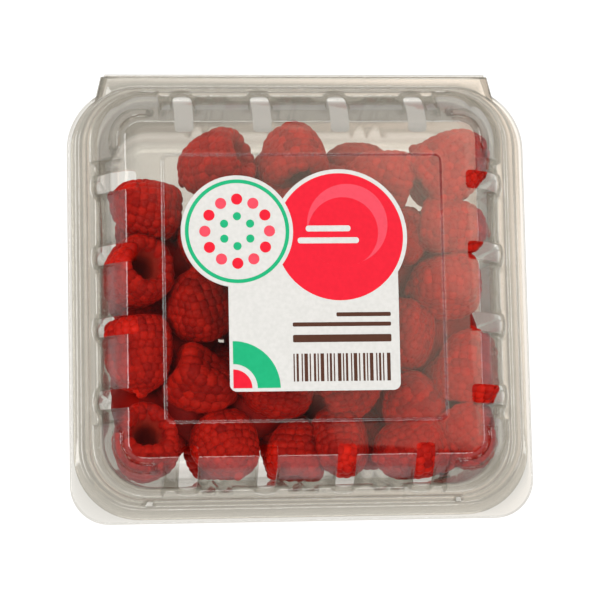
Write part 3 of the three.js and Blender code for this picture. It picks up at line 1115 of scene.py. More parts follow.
@dataclass
class HingeFold:
    """The rounded fold that joins the tray's strip to the lid's."""

    name: str = "hinge_fold"
    edge: float = HingeStrip.edge
    half_width: float = HingeStrip.half_width - 1.0
    low: float = FormedTray.flange_base
    high: float = FormedLid.flange_top
    thickness: float = FormedSheet.thickness
    steps: int = 10
    columns: int = 40

    def build(self, finish: bpy.types.Material) -> bpy.types.Object:
        """Makes the fold."""
        middle, radius = (self.low + self.high) / 2, (self.high - self.low) / 2
        angles = np.linspace(-QUARTER_TURN, QUARTER_TURN, self.steps + 1)
        section = [
            (self.edge + reach * math.cos(angle), middle + reach * math.sin(angle))
            for reach, turned in ((radius, angles), (radius - self.thickness, angles[::-1]))
            for angle in turned
        ]
        count = len(section)
        places = np.linspace(-self.half_width, self.half_width, self.columns + 1)
        points = [(x, y, z) for x in places for y, z in section]
        faces = [tuple(range(count))]
        faces.append(tuple(self.columns * count + count - 1 - step for step in range(count)))
        for column in range(self.columns):
            here = column * count
            for step in range(count):
                following = (step + 1) % count
                faces.append((here + following, here + step, here + count + step, here + count + following))
        piece = mesh_object(self.name, np.array(points), faces)
        piece.data.materials.append(finish)
        point_attribute(piece.data, "bend", np.zeros(len(points)))
        piece.data.shade_smooth()
        piece.data.set_sharp_from_angle(angle=SHARP_ANGLE)
        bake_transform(piece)
        report(piece)
        return piece


# The fruit


class Shape(Enum):
    """A berry's side view from the middle of its stem end to its tip, in shares of radius and length."""

    SHUT = ((0, 0.14), (0.4, 0.03), (0.8, 0.06), (1, 0.28), (0.93, 0.56), (0.63, 0.84), (0, 1))
    OPEN = (
        (0, 0.62), (0.30, 0.52), (0.38, 0.16), (0.62, 0.0), (0.92, 0.1), (1, 0.32), (0.93, 0.58),
        (0.63, 0.84), (0, 1),
    )


@dataclass(frozen=True)
class Berry:
    """One raspberry in the heap.

    Attributes:
        x, y, z: Its middle.
        size: Its size as a share of the usual one.
        heading: The way that its tip points, in degrees from +X.
        lean: How far the tip leans from upright, in degrees.
        shape: Its side view.
        pitch: The width of its drupelets.
        stretch: Its length as a share of the usual one.
        lobes: How uneven its outline is.
        dent: How much deeper than usual its first dent is.
    """

    x: float
    y: float
    z: float
    size: float
    heading: float
    lean: float
    shape: Shape = Shape.SHUT
    pitch: float = 2.55
    stretch: float = 1.0
    lobes: float = 0.03
    dent: float = 0.0


@dataclass(frozen=True)
class Room:
    """The space inside the shut punnet that the fruit is pressed into.

    The walls are given by their distances at six heights, and sheet is the room left for the plastic.
    """

    heights: tuple[float, ...] = (0.0, 2.0, 29.2, 31.0, 34.0, 41.6)
    half_x: tuple[float, ...] = (48.2, 50.4, 53.8, 54.2, 52.8, 47.5)
    front: tuple[float, ...] = (-45.9, -48.1, -51.5, -51.8, -50.3, -44.0)
    back: tuple[float, ...] = (47.9, 50.1, 53.6, 54.0, 52.8, 45.9)
    radius: tuple[float, ...] = (9.0, 11.0, 13.0, 13.0, 11.0, 4.0)
    sheet: float = 0.5
    floor: float = 0.95

    def press(self, points: np.ndarray) -> np.ndarray:
        """Moves points that lie beyond the walls or floor back to them.

        Args:
            points: Rows of x, y and z.

        Returns:
            The moved points.
        """
        pressed = points.copy()
        z = np.maximum(points[:, 2], self.floor)
        half_x = np.interp(z, self.heights, self.half_x) - self.sheet
        front = np.interp(z, self.heights, self.front) + self.sheet
        back = np.interp(z, self.heights, self.back) - self.sheet
        radius = np.interp(z, self.heights, self.radius) - self.sheet
        x, y = points[:, 0], points[:, 1]
        middle, half_y = (front + back) / 2, (back - front) / 2
        beyond_x = np.maximum(np.abs(x) - (half_x - radius), 0)
        beyond_y = np.maximum(np.abs(y - middle) - (half_y - radius), 0)
        beyond = np.hypot(beyond_x, beyond_y)
        scale = np.where(beyond > radius, radius / np.maximum(beyond, 1e-6), 1.0)
        pressed[:, 0] = x - np.sign(x) * beyond_x * (1 - scale)
        pressed[:, 1] = y - np.sign(y - middle) * beyond_y * (1 - scale)
        pressed[:, 2] = z
        return pressed


@dataclass
class BerryForm:
    """The uneven surface of one berry in its place."""

    berry: Berry
    random: np.random.Generator
    room: Room
    girth: float = 9.2
    length: float = 20.0
    lip: float = 0.30
    row_pitch: float = 0.86
    dome_girth: float = 0.67
    dome_rise: float = 0.74
    slip: float = 0.14
    row_slip: float = 0.12
    width_range: tuple[float, float] = (0.93, 1.08)
    tone_spread: float = 0.16
    own_tone_spread: float = 0.08
    samples: int = 120

    def __post_init__(self) -> None:
        """Works out the side view and draws the berry's own unevenness."""
        drawn = self.random.uniform
        self.profile, self.reach = self._even_curve(np.array(self.berry.shape.value, float))
        self.squeeze = drawn(0.94, 1.06)
        self.phases = drawn(0, FULL_TURN, 4)
        self.bow = drawn(-0.9, 0.9, 2)
        self.dents = [
            (drawn(0, FULL_TURN), drawn(0.35, 0.8), drawn(0.5, 1.0) + extra, drawn(3.0, 4.5))
            for extra in (self.berry.dent, 0.0, 0.0)
        ]
        heading, lean = math.radians(self.berry.heading), math.radians(self.berry.lean)
        turn = Matrix.Rotation(heading, 3, "Z") @ Matrix.Rotation(lean, 3, "Y")
        self.turn = np.array(turn @ Matrix.Rotation(drawn(0, FULL_TURN), 3, "Z"))
        self.place = np.array([self.berry.x, self.berry.y, self.berry.z])

    def _even_curve(self, corners: np.ndarray) -> tuple[np.ndarray, float]:
        """Evenly spaced points of a smooth curve through the side view's points.

        Args:
            corners: The side view's points, in shares.

        Returns:
            The points in millimetres, and the curve's length.
        """
        spread = np.vstack([2 * corners[0] - corners[1], corners, 2 * corners[-1] - corners[-2]])
        t = np.linspace(0, len(corners) - 1, 40 * (len(corners) - 1) + 1)
        index = np.minimum(t.astype(int), len(corners) - 2)
        f = (t - index)[:, None]
        a, b, c, d = (spread[index + step] for step in range(4))
        square, cube = 2 * a - 5 * b + 4 * c - d, 3 * b - a - 3 * c + d
        curve = 0.5 * (2 * b + (c - a) * f + square * f ** 2 + cube * f ** 3)
        curve = np.column_stack([np.abs(curve[:, 0]) * self.girth, (curve[:, 1] - 0.5) * self.length])
        lengths = np.append(0, np.cumsum(np.hypot(*np.diff(curve, axis=0).T)))
        even = np.linspace(0, lengths[-1], self.samples)
        points = np.column_stack([np.interp(even, lengths, curve[:, axis]) for axis in (0, 1)])
        return points, float(lengths[-1])

    def radius_at(self, along: float) -> float:
        """The side view's radius at a share of the way from stem to tip."""
        return float(np.interp(along, np.linspace(0, 1, self.samples), self.profile[:, 0]))

    def points(self, turn: np.ndarray, along: np.ndarray) -> np.ndarray:
        """Places on the berry's surface.

        Args:
            turn: Angles round the berry.
            along: Shares of the way from the stem end to the tip.

        Returns:
            Rows of x, y and z in millimetres, in the frame.
        """
        berry, phase = self.berry, self.phases
        even = np.linspace(0, 1, self.samples)
        radius = np.interp(along, even, self.profile[:, 0])
        height = np.interp(along, even, self.profile[:, 1]) * berry.stretch
        wave = np.sin(math.pi * along)
        radius = radius * (
            1
            + berry.lobes * np.cos(2 * turn + phase[0])
            + 1.3 * berry.lobes * wave * np.cos(3 * turn + phase[1] + 2 * along)
            + 0.7 * berry.lobes * np.cos(5 * turn + phase[2] + 5 * along)
        )
        for angle, share, depth, width in self.dents:
            apart = np.abs((turn - angle + math.pi) % FULL_TURN - math.pi) * self.girth * 0.8
            away = np.hypot(apart, (along - share) * self.reach)
            radius = radius - depth * np.exp(-((away / width) ** 2)) * np.minimum(1, radius / 4)
        local = np.column_stack([
            radius * np.cos(turn) * self.squeeze + self.bow[0] * (height / 10) ** 2,
            radius * np.sin(turn) / self.squeeze + self.bow[1] * (height / 10) ** 2,
            height + 0.35 * np.cos(turn + phase[3]) * radius / self.girth,
        ])
        return self.room.press(local * berry.size @ self.turn.T + self.place)

    def normals(self, turn: np.ndarray, along: np.ndarray) -> np.ndarray:
        """The surface's outward directions at the same places as points."""
        step = 0.012
        inner = np.clip(along, step, 1 - step)
        across = self.points(turn + step, inner) - self.points(turn - step, inner)
        upward = self.points(turn, inner + step) - self.points(turn, inner - step)
        normal = np.cross(across, upward)
        return normal / np.maximum(np.linalg.norm(normal, axis=1, keepdims=True), 1e-9)

    def first_row(self) -> float:
        """The share of the way along at which the drupelets start."""
        return self.lip if self.berry.shape is Shape.OPEN else 0.0

    def drupelets(self) -> dict[str, np.ndarray]:
        """Places the drupelets in rings, each set between two of the ring before.

        Returns:
            The dome centres' place, aim, girth, rise, spin and tone.
        """
        random, berry = self.random, self.berry
        pitch = berry.pitch / berry.size
        start = self.first_row()
        rows = max(4, round((1 - start) * self.reach * berry.stretch / (self.row_pitch * pitch)))
        turns, alongs, widths = [], [], []
        offset = 0.0
        for row in range(rows + 1):
            along = start + (1 - start) * row / rows
            radius = self.radius_at(along)
            count = max(1, round(FULL_TURN * radius / pitch))
            offset += 0.5
            width = max(FULL_TURN * radius / count, self.row_pitch * pitch) if count > 1 else pitch
            for step in range(count):
                slip = random.uniform(-self.slip, self.slip) if count > 1 else 0.0
                turns.append(FULL_TURN * (step + offset + slip) / count)
                alongs.append(along + random.uniform(-self.row_slip, self.row_slip) * (1 - start) / rows)
                widths.append(width * random.uniform(*self.width_range))
        turn, along = np.array(turns), np.clip(np.array(alongs), start, 1)
        width = np.array(widths) * berry.size
        aim = self.normals(turn, along)
        girth = self.dome_girth * width
        rise = self.dome_rise * girth
        place = self.points(turn, along) - aim * rise[:, None]
        tone = random.normal(0.5, self.tone_spread, len(turn))
        tone = np.clip(tone + random.uniform(-self.own_tone_spread, self.own_tone_spread), 0, 1)
        return {
            "place": place,
            "aim": aim,
            "size": np.column_stack([girth * random.uniform(0.96, 1.05, len(turn)), girth, rise]),
            "spin": random.uniform(0, FULL_TURN, len(turn)),
            "tone": tone,
        }

    def body(self, columns: int, rows: int, sunk: float) -> tuple[np.ndarray, list, np.ndarray]:
        """The closed surface between and under the drupelets, with the wall of the hollow.

        Args:
            columns: Points round the berry.
            rows: Rings from stem to tip.
            sunk: How far it lies under the drupelets' tops.

        Returns:
            Points, faces, and for each point how far it belongs to the hollow.
        """
        start = self.first_row()
        shares = np.linspace(0, 1, rows + 1)
        turn = np.tile(np.arange(columns) * FULL_TURN / columns, rows + 1)
        along = np.repeat(shares, columns)
        hollow = smooth_step((start - along) / 0.05 + 0.5) if start else np.zeros(len(along))
        depth = sunk * (1 - hollow)
        points = self.points(turn, along) - self.normals(turn, along) * depth[:, None]
        stem, tip = points[:columns].mean(axis=0), points[-columns:].mean(axis=0)
        points = np.vstack([points[columns:-columns], stem, tip])
        hollow = np.append(hollow[columns:-columns], [hollow[0], 0.0])
        inner = rows - 1
        faces = []
        for row in range(inner - 1):
            for step in range(columns):
                here, following = row * columns + step, row * columns + (step + 1) % columns
                faces.append((here, following, following + columns, here + columns))
        for step in range(columns):
            following = (step + 1) % columns
            faces.append((following, step, inner * columns))
            top = (inner - 1) * columns
            faces.append((top + step, top + following, inner * columns + 1))
        return points, faces, hollow

    def holds(self, points: np.ndarray, share: float = 0.86) -> np.ndarray:
        """Whether points lie well inside this berry.

        Args:
            points: Rows of x, y and z.
            share: The share of the berry's size that counts as inside.

        Returns:
            True for each point inside.
        """
        local = (points - self.place) @ self.turn / self.berry.size
        across = np.hypot(local[:, 0], local[:, 1]) / self.girth
        return np.hypot(across, local[:, 2] / (self.length / 2 * self.berry.stretch)) < share


@dataclass(frozen=True)
class DrupeletMaker:
    """The tree that sets a dome on each marked point."""

    segments: int
    rings: int
    dome_foot: float = -0.05
    name: str = "drupelets"

    def tree(self, finish: bpy.types.Material) -> bpy.types.GeometryNodeTree:
        """Builds the tree.

        Args:
            finish: The drupelets' material.

        Returns:
            The tree, with inputs for the number of segments and rings of a dome.
        """
        tree = bpy.data.node_groups.new(self.name, "GeometryNodeTree")
        tree.interface.new_socket("Geometry", in_out="INPUT", socket_type="NodeSocketGeometry")
        tree.interface.new_socket("Segments", in_out="INPUT", socket_type="NodeSocketInt")
        tree.interface.new_socket("Rings", in_out="INPUT", socket_type="NodeSocketInt")
        tree.interface.new_socket("Geometry", in_out="OUTPUT", socket_type="NodeSocketGeometry")
        nodes = Nodes(tree)
        given = nodes.add("NodeGroupInput").outputs

        def named(kind: str, name: str) -> bpy.types.NodeSocket:
            """Reads an attribute of the points."""
            return nodes.add("GeometryNodeInputNamedAttribute", {"Name": name}, data_type=kind).outputs[0]

        ball = nodes.add(
            "GeometryNodeMeshUVSphere",
            {"Segments": given["Segments"], "Rings": given["Rings"], "Radius": 1.0},
        ).outputs["Mesh"]
        height = nodes.add(
            "ShaderNodeSeparateXYZ", {0: nodes.add("GeometryNodeInputPosition").outputs[0]}
        ).outputs["Z"]
        under = nodes.add(
            "FunctionNodeCompare", {0: height, 1: self.dome_foot}, operation="LESS_THAN"
        ).outputs[0]
        dome = nodes.add(
            "GeometryNodeDeleteGeometry", {"Geometry": ball, "Selection": under}
        ).outputs[0]
        dome = nodes.add("GeometryNodeSetShadeSmooth", {"Geometry": dome}).outputs[0]
        upright = nodes.add(
            "FunctionNodeAlignRotationToVector", {"Vector": named("FLOAT_VECTOR", "aim")}, axis="Z"
        ).outputs[0]
        spin = nodes.add(
            "FunctionNodeAxisAngleToRotation", {"Axis": (0, 0, 1), "Angle": named("FLOAT", "spin")}
        ).outputs[0]
        turn = nodes.add(
            "FunctionNodeRotateRotation", {0: upright, 1: spin}, rotation_space="LOCAL"
        ).outputs[0]
        placed = nodes.add(
            "GeometryNodeInstanceOnPoints",
            {
                "Points": given["Geometry"],
                "Instance": dome,
                "Rotation": turn,
                "Scale": named("FLOAT_VECTOR", "size"),
            },
        ).outputs[0]
        real = nodes.add("GeometryNodeRealizeInstances", {"Geometry": placed}).outputs[0]
        dressed = nodes.add("GeometryNodeSetMaterial", {"Geometry": real, "Material": finish}).outputs[0]
        nodes.add("NodeGroupOutput", {0: dressed})
        return tree

    def grow(self, name: str, marks: dict[str, np.ndarray], finish: bpy.types.Material) -> bpy.types.Object:
        """Sets a dome on every mark and makes the result a plain mesh.

        Args:
            name: The piece's name.
            marks: The domes' places and measures, in millimetres.
            finish: The drupelets' material.

        Returns:
            The finished piece.
        """
        holder = mesh_object(name + "_marks", marks["place"], [])
        point_attribute(holder.data, "aim", marks["aim"])
        point_attribute(holder.data, "size", marks["size"] * MM)
        point_attribute(holder.data, "spin", marks["spin"])
        point_attribute(holder.data, "tone", marks["tone"])
        tree = self.tree(finish)
        modifier = holder.modifiers.new("drupelets", "NODES")
        modifier.node_group = tree
        inputs = [item for item in tree.interface.items_tree if item.in_out == "INPUT"]
        sockets = {item.name: item.identifier for item in inputs}
        modifier[sockets["Segments"]] = self.segments
        modifier[sockets["Rings"]] = self.rings
        return finished(holder, name)


@dataclass
class RaspberryHeap:
    """Two layers of raspberries, with the back left corner empty.

    The low layer stands on a grid with low_steps gaps along each side, and sunk is how far the
    bodies lie under the drupelets' tops.
    """

    seed: int = 12
    room: Room = field(default_factory=Room)
    low_half_x: float = 40.5
    low_front: float = -38.5
    low_back: float = 37.0
    low_z: float = 10.6
    core_z: float = 12.5
    core_size: float = 1.14
    low_steps: int = 4
    sunk: float = 0.62
    top_body: tuple[int, int] = (32, 26)
    low_body: tuple[int, int] = (20, 14)
    # painted shade: a darker tone for the bodies, which show in the creases between the drupelets and in
    # the gaps
    body_painted_shade_tone: float = 0.15
    bare_from: float = 0.8

    def top_layer(self) -> list[Berry]:
        """The fruit that shows from above, row by row from the back."""
        shut, hollow = Shape.SHUT, Shape.OPEN
        return [
            Berry(-23, 36, 25, 1.04, 200, 118, hollow, pitch=2.8),
            Berry(-1, 39, 25, 1.05, 95, 118, hollow, pitch=2.8),
            Berry(24, 34, 22, 0.97, 160, 95, shut, dent=2.2),
            Berry(44, 37, 25, 1.06, 35, 85, shut, stretch=1.12),
            Berry(-42, 25, 24, 1.0, 170, 70),
            Berry(-22, 18, 23, 0.98, 20, 60),
            Berry(-3, 20, 24, 1.0, 280, 90),
            Berry(15, 17, 22, 0.95, 130, 80),
            Berry(29, 18, 22, 0.85, 60, 100),
            Berry(44, 19, 25, 0.98, 350, 75),
            Berry(-45, 6.5, 23.5, 1.05, 215, 150, hollow),
            Berry(-27, -1, 24, 1.0, 100, 60),
            Berry(-8, 1, 24, 1.0, 10, 85),
            Berry(12, -1, 23, 1.0, 240, 95),
            Berry(40, 3, 24, 1.05, 185, 85),
            Berry(-44, -16, 25, 1.05, 275, 80, stretch=1.06),
            Berry(29, -11, 22, 1.0, 265, 75),
            Berry(47, -19, 25, 1.03, 80, 85, stretch=1.06),
            Berry(-26, -23, 25, 1.02, 330, 100, pitch=3.5, lobes=0.07, dent=1.6),
            Berry(-7, -25, 23, 1.0, 180, 80),
            Berry(14, -24, 23, 1.0, 30, 95),
            Berry(31, -29, 23, 0.95, 120, 70),
            Berry(-42.5, -40.5, 23, 1.06, 262, 155, hollow, pitch=2.7),
            Berry(-20, -41, 24, 0.98, 290, 60),
            Berry(-1, -41, 22, 0.9, 80, 100),
            Berry(10.5, -41, 25, 0.97, 270, 50),
            Berry(29.5, -41.5, 24, 1.05, 200, 75),
            Berry(46.5, -39, 24, 0.98, 300, 80),
        ]

    def low_layer(self, random: np.random.Generator) -> list[Berry]:
        """The fruit under the top layer, on a loose grid without the back left corner."""
        steps = np.linspace(0, 1, self.low_steps + 1)
        berries = []
        for along in steps:
            for across in steps:
                if along == 0 and across == 1:
                    continue
                berries.append(Berry(
                    -self.low_half_x + 2 * self.low_half_x * along,
                    self.low_front + (self.low_back - self.low_front) * across,
                    self.low_z,
                    random.uniform(0.94, 1.04),
                    random.uniform(0, 360),
                    random.uniform(60, 120),
                ))
        return berries

    def core(self, random: np.random.Generator) -> list[Berry]:
        """The smooth mass between the layers, in the bodies' darker painted-shade tone, which darkens the
        gaps but not the back corners.
        """
        middles = (np.arange(self.low_steps) + 0.5) / self.low_steps
        columns = np.concatenate([[0.0], middles, [1.0]])
        return [
            Berry(
                -self.low_half_x + 2 * self.low_half_x * along,
                self.low_front + (self.low_back - self.low_front) * across,
                self.core_z,
                self.core_size,
                random.uniform(0, 360),
                90.0,
            )
            for along in columns
            for across in middles
            if not (across > self.bare_from and abs(along - 0.5) > self.bare_from - 0.5)
        ]

    def build(self, finish: bpy.types.Material) -> list[bpy.types.Object]:
        """Makes the fruit and puts it in the place of its node."""
        random = np.random.default_rng(self.seed)
        top = [BerryForm(berry, random, self.room) for berry in self.top_layer()]
        low = [BerryForm(berry, random, self.room) for berry in self.low_layer(random)]
        core = [BerryForm(berry, random, self.room) for berry in self.core(random)]
        half = len(top) // 2
        pieces = [
            self._drupelets("drupelets_back", top[:half], top + low, DrupeletMaker(10, 8), finish),
            self._drupelets("drupelets_front", top[half:], top + low, DrupeletMaker(10, 8), finish),
            self._drupelets("drupelets_low", low, top + low, DrupeletMaker(8, 6), finish),
            self._bodies("berry_bodies", top, low + core, finish),
        ]
        for piece in pieces:
            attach(piece, Body.TRAY.value)
            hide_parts("raspberries")
            report(piece)
        return pieces

    @staticmethod
    def _drupelets(
        name: str,
        forms: list[BerryForm],
        all_forms: list[BerryForm],
        maker: DrupeletMaker,
        finish: bpy.types.Material,
    ) -> bpy.types.Object:
        """Makes the drupelets of some berries, leaving out those inside another berry."""
        grown = []
        for form in forms:
            marks = form.drupelets()
            hidden = np.zeros(len(marks["place"]), bool)
            for other in all_forms:
                if other is not form:
                    hidden |= other.holds(marks["place"])
            grown.append({key: values[~hidden] for key, values in marks.items()})
        joined = {key: np.concatenate([marks[key] for marks in grown]) for key in grown[0]}
        return maker.grow(name, joined, finish)

    def _bodies(
        self, name: str, top: list[BerryForm], low: list[BerryForm], finish: bpy.types.Material
    ) -> bpy.types.Object:
        """Makes the bodies under all the drupelets as one mesh."""
        bodies, hollows = Parts(), []
        for forms, detail in ((top, self.top_body), (low, self.low_body)):
            for form in forms:
                points, faces, hollow = form.body(*detail, self.sunk)
                bodies.add(points, faces)
                hollows.append(hollow)
        piece = bodies.joined(name)
        # painted crease shade: every body point gets the same darker tone
        point_attribute(piece.data, "tone", np.full(bodies.count, self.body_painted_shade_tone))
        point_attribute(piece.data, "hollow", np.concatenate(hollows))
        piece.data.materials.append(finish)
        piece.data.shade_smooth()
        return piece


# The label


class Ink(Enum):
    """The colours of the label, the bare paper's first."""

    PAPER = (0.45, 0.45, 0.435)
    RED = (0.52, 0.003, 0.018)
    ROSE = (0.54, 0.043, 0.07)
    GREEN = (0.002, 0.28, 0.12)
    BROWN = (0.050, 0.016, 0.008)


@dataclass(frozen=True)
class Disc:
    """A disc, or a sector of one that starts at an angle."""

    x: float
    y: float
    radius: float
    start: float = 0.0
    turn: float = FULL_TURN
    steps: int = 96
    full_detail: float = 6.0

    def smaller(self, by: float) -> "Disc":
        """A whole disc with the same middle and a smaller radius."""
        return Disc(self.x, self.y, self.radius - by)

    def points(self) -> np.ndarray:
        """The outline, counter-clockwise; a sector's ends with its middle point."""
        share = min(1, self.radius / self.full_detail) * self.turn / FULL_TURN
        steps = max(10, round(self.steps * share))
        is_sector = self.turn < FULL_TURN
        angle = self.start + np.arange(steps + is_sector) * self.turn / steps
        rim = np.column_stack([self.x + self.radius * np.cos(angle), self.y + self.radius * np.sin(angle)])
        return np.vstack([rim, [self.x, self.y]]) if is_sector else rim


@dataclass(frozen=True)
class Bar:
    """A bar with round corners."""

    left: float
    right: float
    low: float
    high: float
    radius: float
    corner_steps: int = 5

    def points(self) -> np.ndarray:
        """The outline, counter-clockwise."""
        shape = Outline((self.right - self.left) / 2, self.low, self.high, self.radius)
        return shape.corners(self.corner_steps) + np.array([(self.left + self.right) / 2, 0.0])


@dataclass(frozen=True)
class Printed:
    """One printed shape: its ink and how many layers of ink high it stands."""

    ink: Ink
    shape: Disc | Bar
    layer: int = 1


@dataclass(frozen=True)
class DotCircle:
    """Dots at even steps round a middle, each in the next of the inks."""

    inks: tuple[Ink, ...]
    count: int
    away: float
    radius: float
    offset: float = 0.0

    def around(self, middle: Disc, layer: int) -> list[Printed]:
        """The dots round the middle of a disc."""
        dots = []
        for step in range(self.count):
            angle = FULL_TURN * (step + self.offset) / self.count
            x = middle.x + self.away * math.cos(angle)
            y = middle.y + self.away * math.sin(angle)
            dots.append(Printed(self.inks[step % len(self.inks)], Disc(x, y, self.radius), layer))
        return dots


@dataclass
class PrintedLabel:
    """A cut paper label with a plain print of discs, dots, bars and stripes."""

    bottom: float = 42.7
    thickness: float = 0.26
    ink_step: float = 0.012
    ink_root: float = 0.05
    body: Bar = Bar(-20.4, 25.0, -26.9, 8.0, 1.9)
    head: Disc = Disc(-17.8, 15.8, 15.0)
    red_disc: Disc = Disc(9.5, 14.2, 18.2)
    arc_outer: Disc = Disc(11.7, 17.6, 10.8)
    arc_inner: Disc = Disc(10.5, 15.4, 9.4)
    disc_bars: tuple[Bar, ...] = (Bar(0.5, 12.5, 15.6, 17.2, 0.7), Bar(-1.7, 14.7, 12.4, 14.0, 0.7))
    disc_margin: float = 1.1
    head_margin: float = 0.1
    ring_width: float = 1.0
    outer_dots: DotCircle = DotCircle((Ink.ROSE, Ink.RED), 12, 8.6, 1.5)
    inner_dots: DotCircle = DotCircle((Ink.GREEN,), 6, 4.0, 1.1, 0.5)
    corner_margin: float = 0.9
    corner_radii: tuple[float, float, float] = (12.5, 6.4, 5.0)
    lines: tuple[Bar, ...] = (
        Bar(8.2, 22.8, -7.2, -6.1, 0.35),
        Bar(-3.5, 22.8, -9.8, -8.7, 0.35),
        Bar(-3.5, 22.8, -14.0, -12.0, 0.35),
    )
    stripe_left: float = -3.5
    stripe_low: float = -24.4
    stripe_high: float = -17.0
    stripe_count: int = 24
    stripe_widths: tuple[float, ...] = (0.35, 0.6, 0.35, 0.95)
    stripe_gaps: tuple[float, ...] = (0.45, 0.75, 0.4)
    stripe_radius: float = 0.05

    def _sheet(self, finish: bpy.types.Material) -> bpy.types.Object:
        """The paper: the body and the two discs in one."""
        parts = [
            mesh_object("label_part", *prism(shape.points(), self.bottom, self.bottom + self.thickness))
            for shape in (self.body, self.head, self.red_disc)
        ]
        for other in parts[1:]:
            joint = parts[0].modifiers.new("join", "BOOLEAN")
            joint.operation = "UNION"
            joint.solver = "EXACT"
            joint.object = other
        sheet = finished(parts[0], "paper_sheet")
        for other in parts[1:]:
            discard(other)
        sheet.data.materials.append(finish)
        return sheet

    def _red_disc_print(self) -> list[Printed]:
        """The red disc with a lighter arc and two bars."""
        return [
            Printed(Ink.RED, self.red_disc.smaller(self.disc_margin), 1),
            Printed(Ink.ROSE, self.arc_outer, 2),
            Printed(Ink.RED, self.arc_inner, 3),
            *(Printed(Ink.PAPER, bar, 4) for bar in self.disc_bars),
        ]

    def _head_print(self) -> list[Printed]:
        """A ring round two circles of dots, over the edge of the red disc."""
        return [
            Printed(Ink.PAPER, self.head.smaller(self.head_margin), 5),
            Printed(Ink.GREEN, self.head.smaller(self.disc_margin), 6),
            Printed(Ink.PAPER, self.head.smaller(self.disc_margin + self.ring_width), 7),
            *self.outer_dots.around(self.head, 8),
            *self.inner_dots.around(self.head, 8),
        ]

    def _corner_print(self) -> list[Printed]:
        """Three quarter discs, one over another, in the front left corner."""
        x, y = self.body.left + self.corner_margin, self.body.low + self.corner_margin
        inks = (Ink.GREEN, Ink.PAPER, Ink.RED)
        return [
            Printed(ink, Disc(x, y, radius, 0.0, QUARTER_TURN), layer)
            for layer, (ink, radius) in enumerate(zip(inks, self.corner_radii), start=1)
        ]

    def _line_print(self) -> list[Printed]:
        """Three plain bars and a block of plain stripes."""
        shapes = list(self.lines)
        edge = self.stripe_left
        for step in range(self.stripe_count):
            width = self.stripe_widths[5 * step % len(self.stripe_widths)]
            shapes.append(
                Bar(edge, edge + width, self.stripe_low, self.stripe_high, self.stripe_radius)
            )
            edge += width + self.stripe_gaps[step % len(self.stripe_gaps)]
        return [Printed(Ink.BROWN, shape) for shape in shapes]

    def _inked(self, finishes: dict[Ink, bpy.types.Material]) -> bpy.types.Object:
        """The whole print as one mesh, each shape a thin layer on the paper."""
        top = self.bottom + self.thickness
        inks = list(Ink)
        layers, slots = Parts(), []
        prints = self._red_disc_print() + self._head_print() + self._corner_print() + self._line_print()
        for printed in prints:
            height = top + printed.layer * self.ink_step
            points, faces = prism(printed.shape.points(), top - self.ink_root, height)
            layers.add(points, faces)
            slots += [inks.index(printed.ink)] * len(faces)
        inked = layers.joined("ink_layers")
        for ink in inks:
            inked.data.materials.append(finishes[ink])
        inked.data.polygons.foreach_set("material_index", slots)
        return inked

    def build(self) -> list[bpy.types.Object]:
        """Makes the label and puts it in the place of its node."""
        finishes = {ink: Paper("label_" + ink.name.lower(), ink.value).make() for ink in Ink}
        pieces = [self._sheet(finishes[Ink.PAPER]), self._inked(finishes)]
        for piece in pieces:
            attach(piece, Body.LID.value)
            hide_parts("label")
            report(piece)
        return pieces


# The studio


@dataclass(frozen=True)
class SoftBox:
    """A soft light that faces the punnet, in millimetres."""

    name: str
    place: Place
    size: tuple[float, float]
    radiance: float
    colour: Colour = WHITE
    target: Place = (0.0, 0.0, 30.0)

    def build(self) -> None:
        """Makes the light."""
        data = bpy.data.lights.new(self.name, "AREA")
        data.shape = "RECTANGLE"
        data.color = self.colour
        data.size, data.size_y = self.size[0] * MM, self.size[1] * MM
        data.energy = self.radiance * math.pi * data.size * data.size_y
        light = bpy.data.objects.new(self.name, data)
        bpy.context.scene.collection.objects.link(light)
        turn = (Vector(self.target) - Vector(self.place)).to_track_quat("-Z", "Y").to_matrix().to_4x4()
        light.matrix_world = Matrix.Translation(Vector(self.place) * MM) @ turn


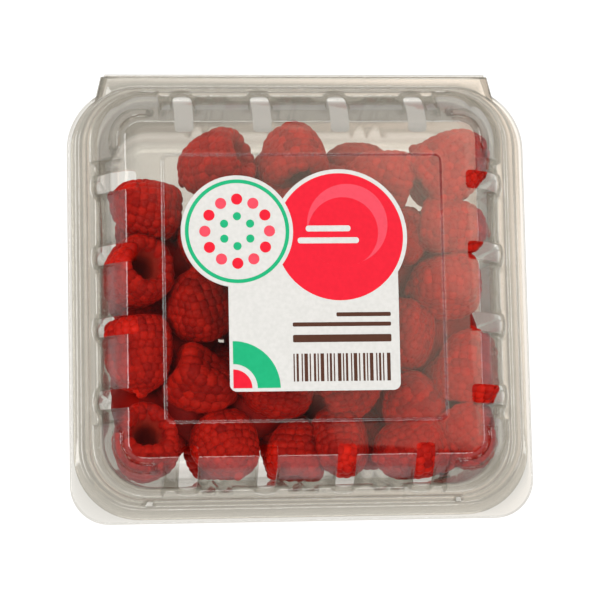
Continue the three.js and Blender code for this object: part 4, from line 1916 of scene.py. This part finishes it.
@dataclass
class Studio:
    """Pale floor, soft lights and the camera of the photograph."""

    camera_place: Place = (-68.63, -75.85, 668.88)
    camera_view: Place = (0.10604, 0.11538, -0.98764)
    camera_up: Place = (0.00847, 0.99310, 0.11693)
    focal_pixels: float = 2390.25
    sensor: float = 36.0
    floor_half: float = 3000.0
    floor_drop: float = -0.15
    floor_colour: Colour = (0.10, 0.10, 0.10)
    floor_glow: float = 1.0
    sky_low: float = 0.9
    sky_high: float = 0.04
    sky_heights: tuple[float, float] = (0.25, 0.6)
    clip: tuple[float, float] = (0.05, 20.0)
    haze_steps: int = 4

    def _camera(self) -> None:
        """Makes the camera."""
        data = bpy.data.cameras.new("camera")
        data.sensor_width = self.sensor
        data.lens = self.focal_pixels / PHOTO_WIDTH * self.sensor
        data.clip_start, data.clip_end = self.clip
        camera = bpy.data.objects.new("camera", data)
        bpy.context.scene.collection.objects.link(camera)
        view = Vector(self.camera_view).normalized()
        right = view.cross(Vector(self.camera_up)).normalized()
        up = right.cross(view)
        turn = Matrix((right, up, -view)).transposed().to_4x4()
        camera.matrix_world = Matrix.Translation(Vector(self.camera_place) * MM) @ turn
        bpy.context.scene.camera = camera

    def _floor(self) -> None:
        """Makes the floor."""
        half = self.floor_half
        square = ((-half, -half), (half, -half), (half, half), (-half, half))
        corners = np.array([(*corner, self.floor_drop) for corner in square])
        floor = mesh_object("studio_floor", corners, [(0, 1, 2, 3)])
        material, nodes = new_material("studio_floor")
        white = nodes.add("ShaderNodeBsdfDiffuse", {"Color": (*self.floor_colour, 1.0)}).outputs[0]
        glow = nodes.add("ShaderNodeEmission", {"Strength": self.floor_glow}).outputs[0]
        lit = nodes.add("ShaderNodeAddShader", {0: white, 1: glow}).outputs[0]
        nodes.add("ShaderNodeOutputMaterial", {"Surface": lit})
        floor.data.materials.append(material)

    def soft_boxes(self) -> list[SoftBox]:
        """Four nested lights that the lid mirrors as a warm haze, and one from each side."""
        nested = [
            SoftBox(
                "soft_box_right_%d" % step,
                (370 + 14 * step, 262 + 20 * step, 1042),
                (560 - 72 * step, 690 - 90 * step),
                0.72 + 0.09 * step,
                WARM,
            )
            for step in range(self.haze_steps)
        ]
        return nested + [
            SoftBox("soft_box_left", (-620, 60, 800), (600, 700), 6.2),
            SoftBox("soft_box_front", (60, -680, 760), (700, 500), 5.0),
            SoftBox("soft_box_back", (-60, 760, 760), (700, 500), 5.0),
            SoftBox("soft_box_side", (860, -60, 700), (500, 700), 5.0),
        ]

    def _sky(self) -> None:
        """Makes a surrounding that is bright near the horizon and dark overhead."""
        world = bpy.data.worlds.new("studio")
        world.use_nodes = True
        nodes = Nodes(world.node_tree)
        way = nodes.add("ShaderNodeTexCoord").outputs["Generated"]
        height = nodes.add("ShaderNodeSeparateXYZ", {0: way}).outputs["Z"]
        strength = nodes.ramp(height, *self.sky_heights, self.sky_low, self.sky_high)
        sky = nodes.add("ShaderNodeBackground", {"Color": (1, 1, 1, 1), "Strength": strength}).outputs[0]
        nodes.add("ShaderNodeOutputWorld", {"Surface": sky})
        bpy.context.scene.world = world

    def build(self) -> None:
        """Makes the whole studio."""
        self._camera()
        self._floor()
        self._sky()
        for soft_box in self.soft_boxes():
            soft_box.build()
        scene = bpy.context.scene
        scene.view_settings.view_transform = "Standard"
        scene.cycles.max_bounces = 24
        scene.cycles.transparent_max_bounces = 40
        LOG.info("studio made")


def main() -> None:
    """Builds the tray, the lid, the hinge, the fruit, the label and the studio, in that order."""
    logging.basicConfig(level=logging.INFO, format="%(name)s: %(message)s")
    clear = ClearSheet().make()
    FormedTray().build(clear)
    FormedLid().build(clear)
    HingeFold().build(clear)
    RaspberryHeap().build(BerrySkin().make())
    PrintedLabel().build()
    Studio().build()


if __name__ == "__main__":
    main()
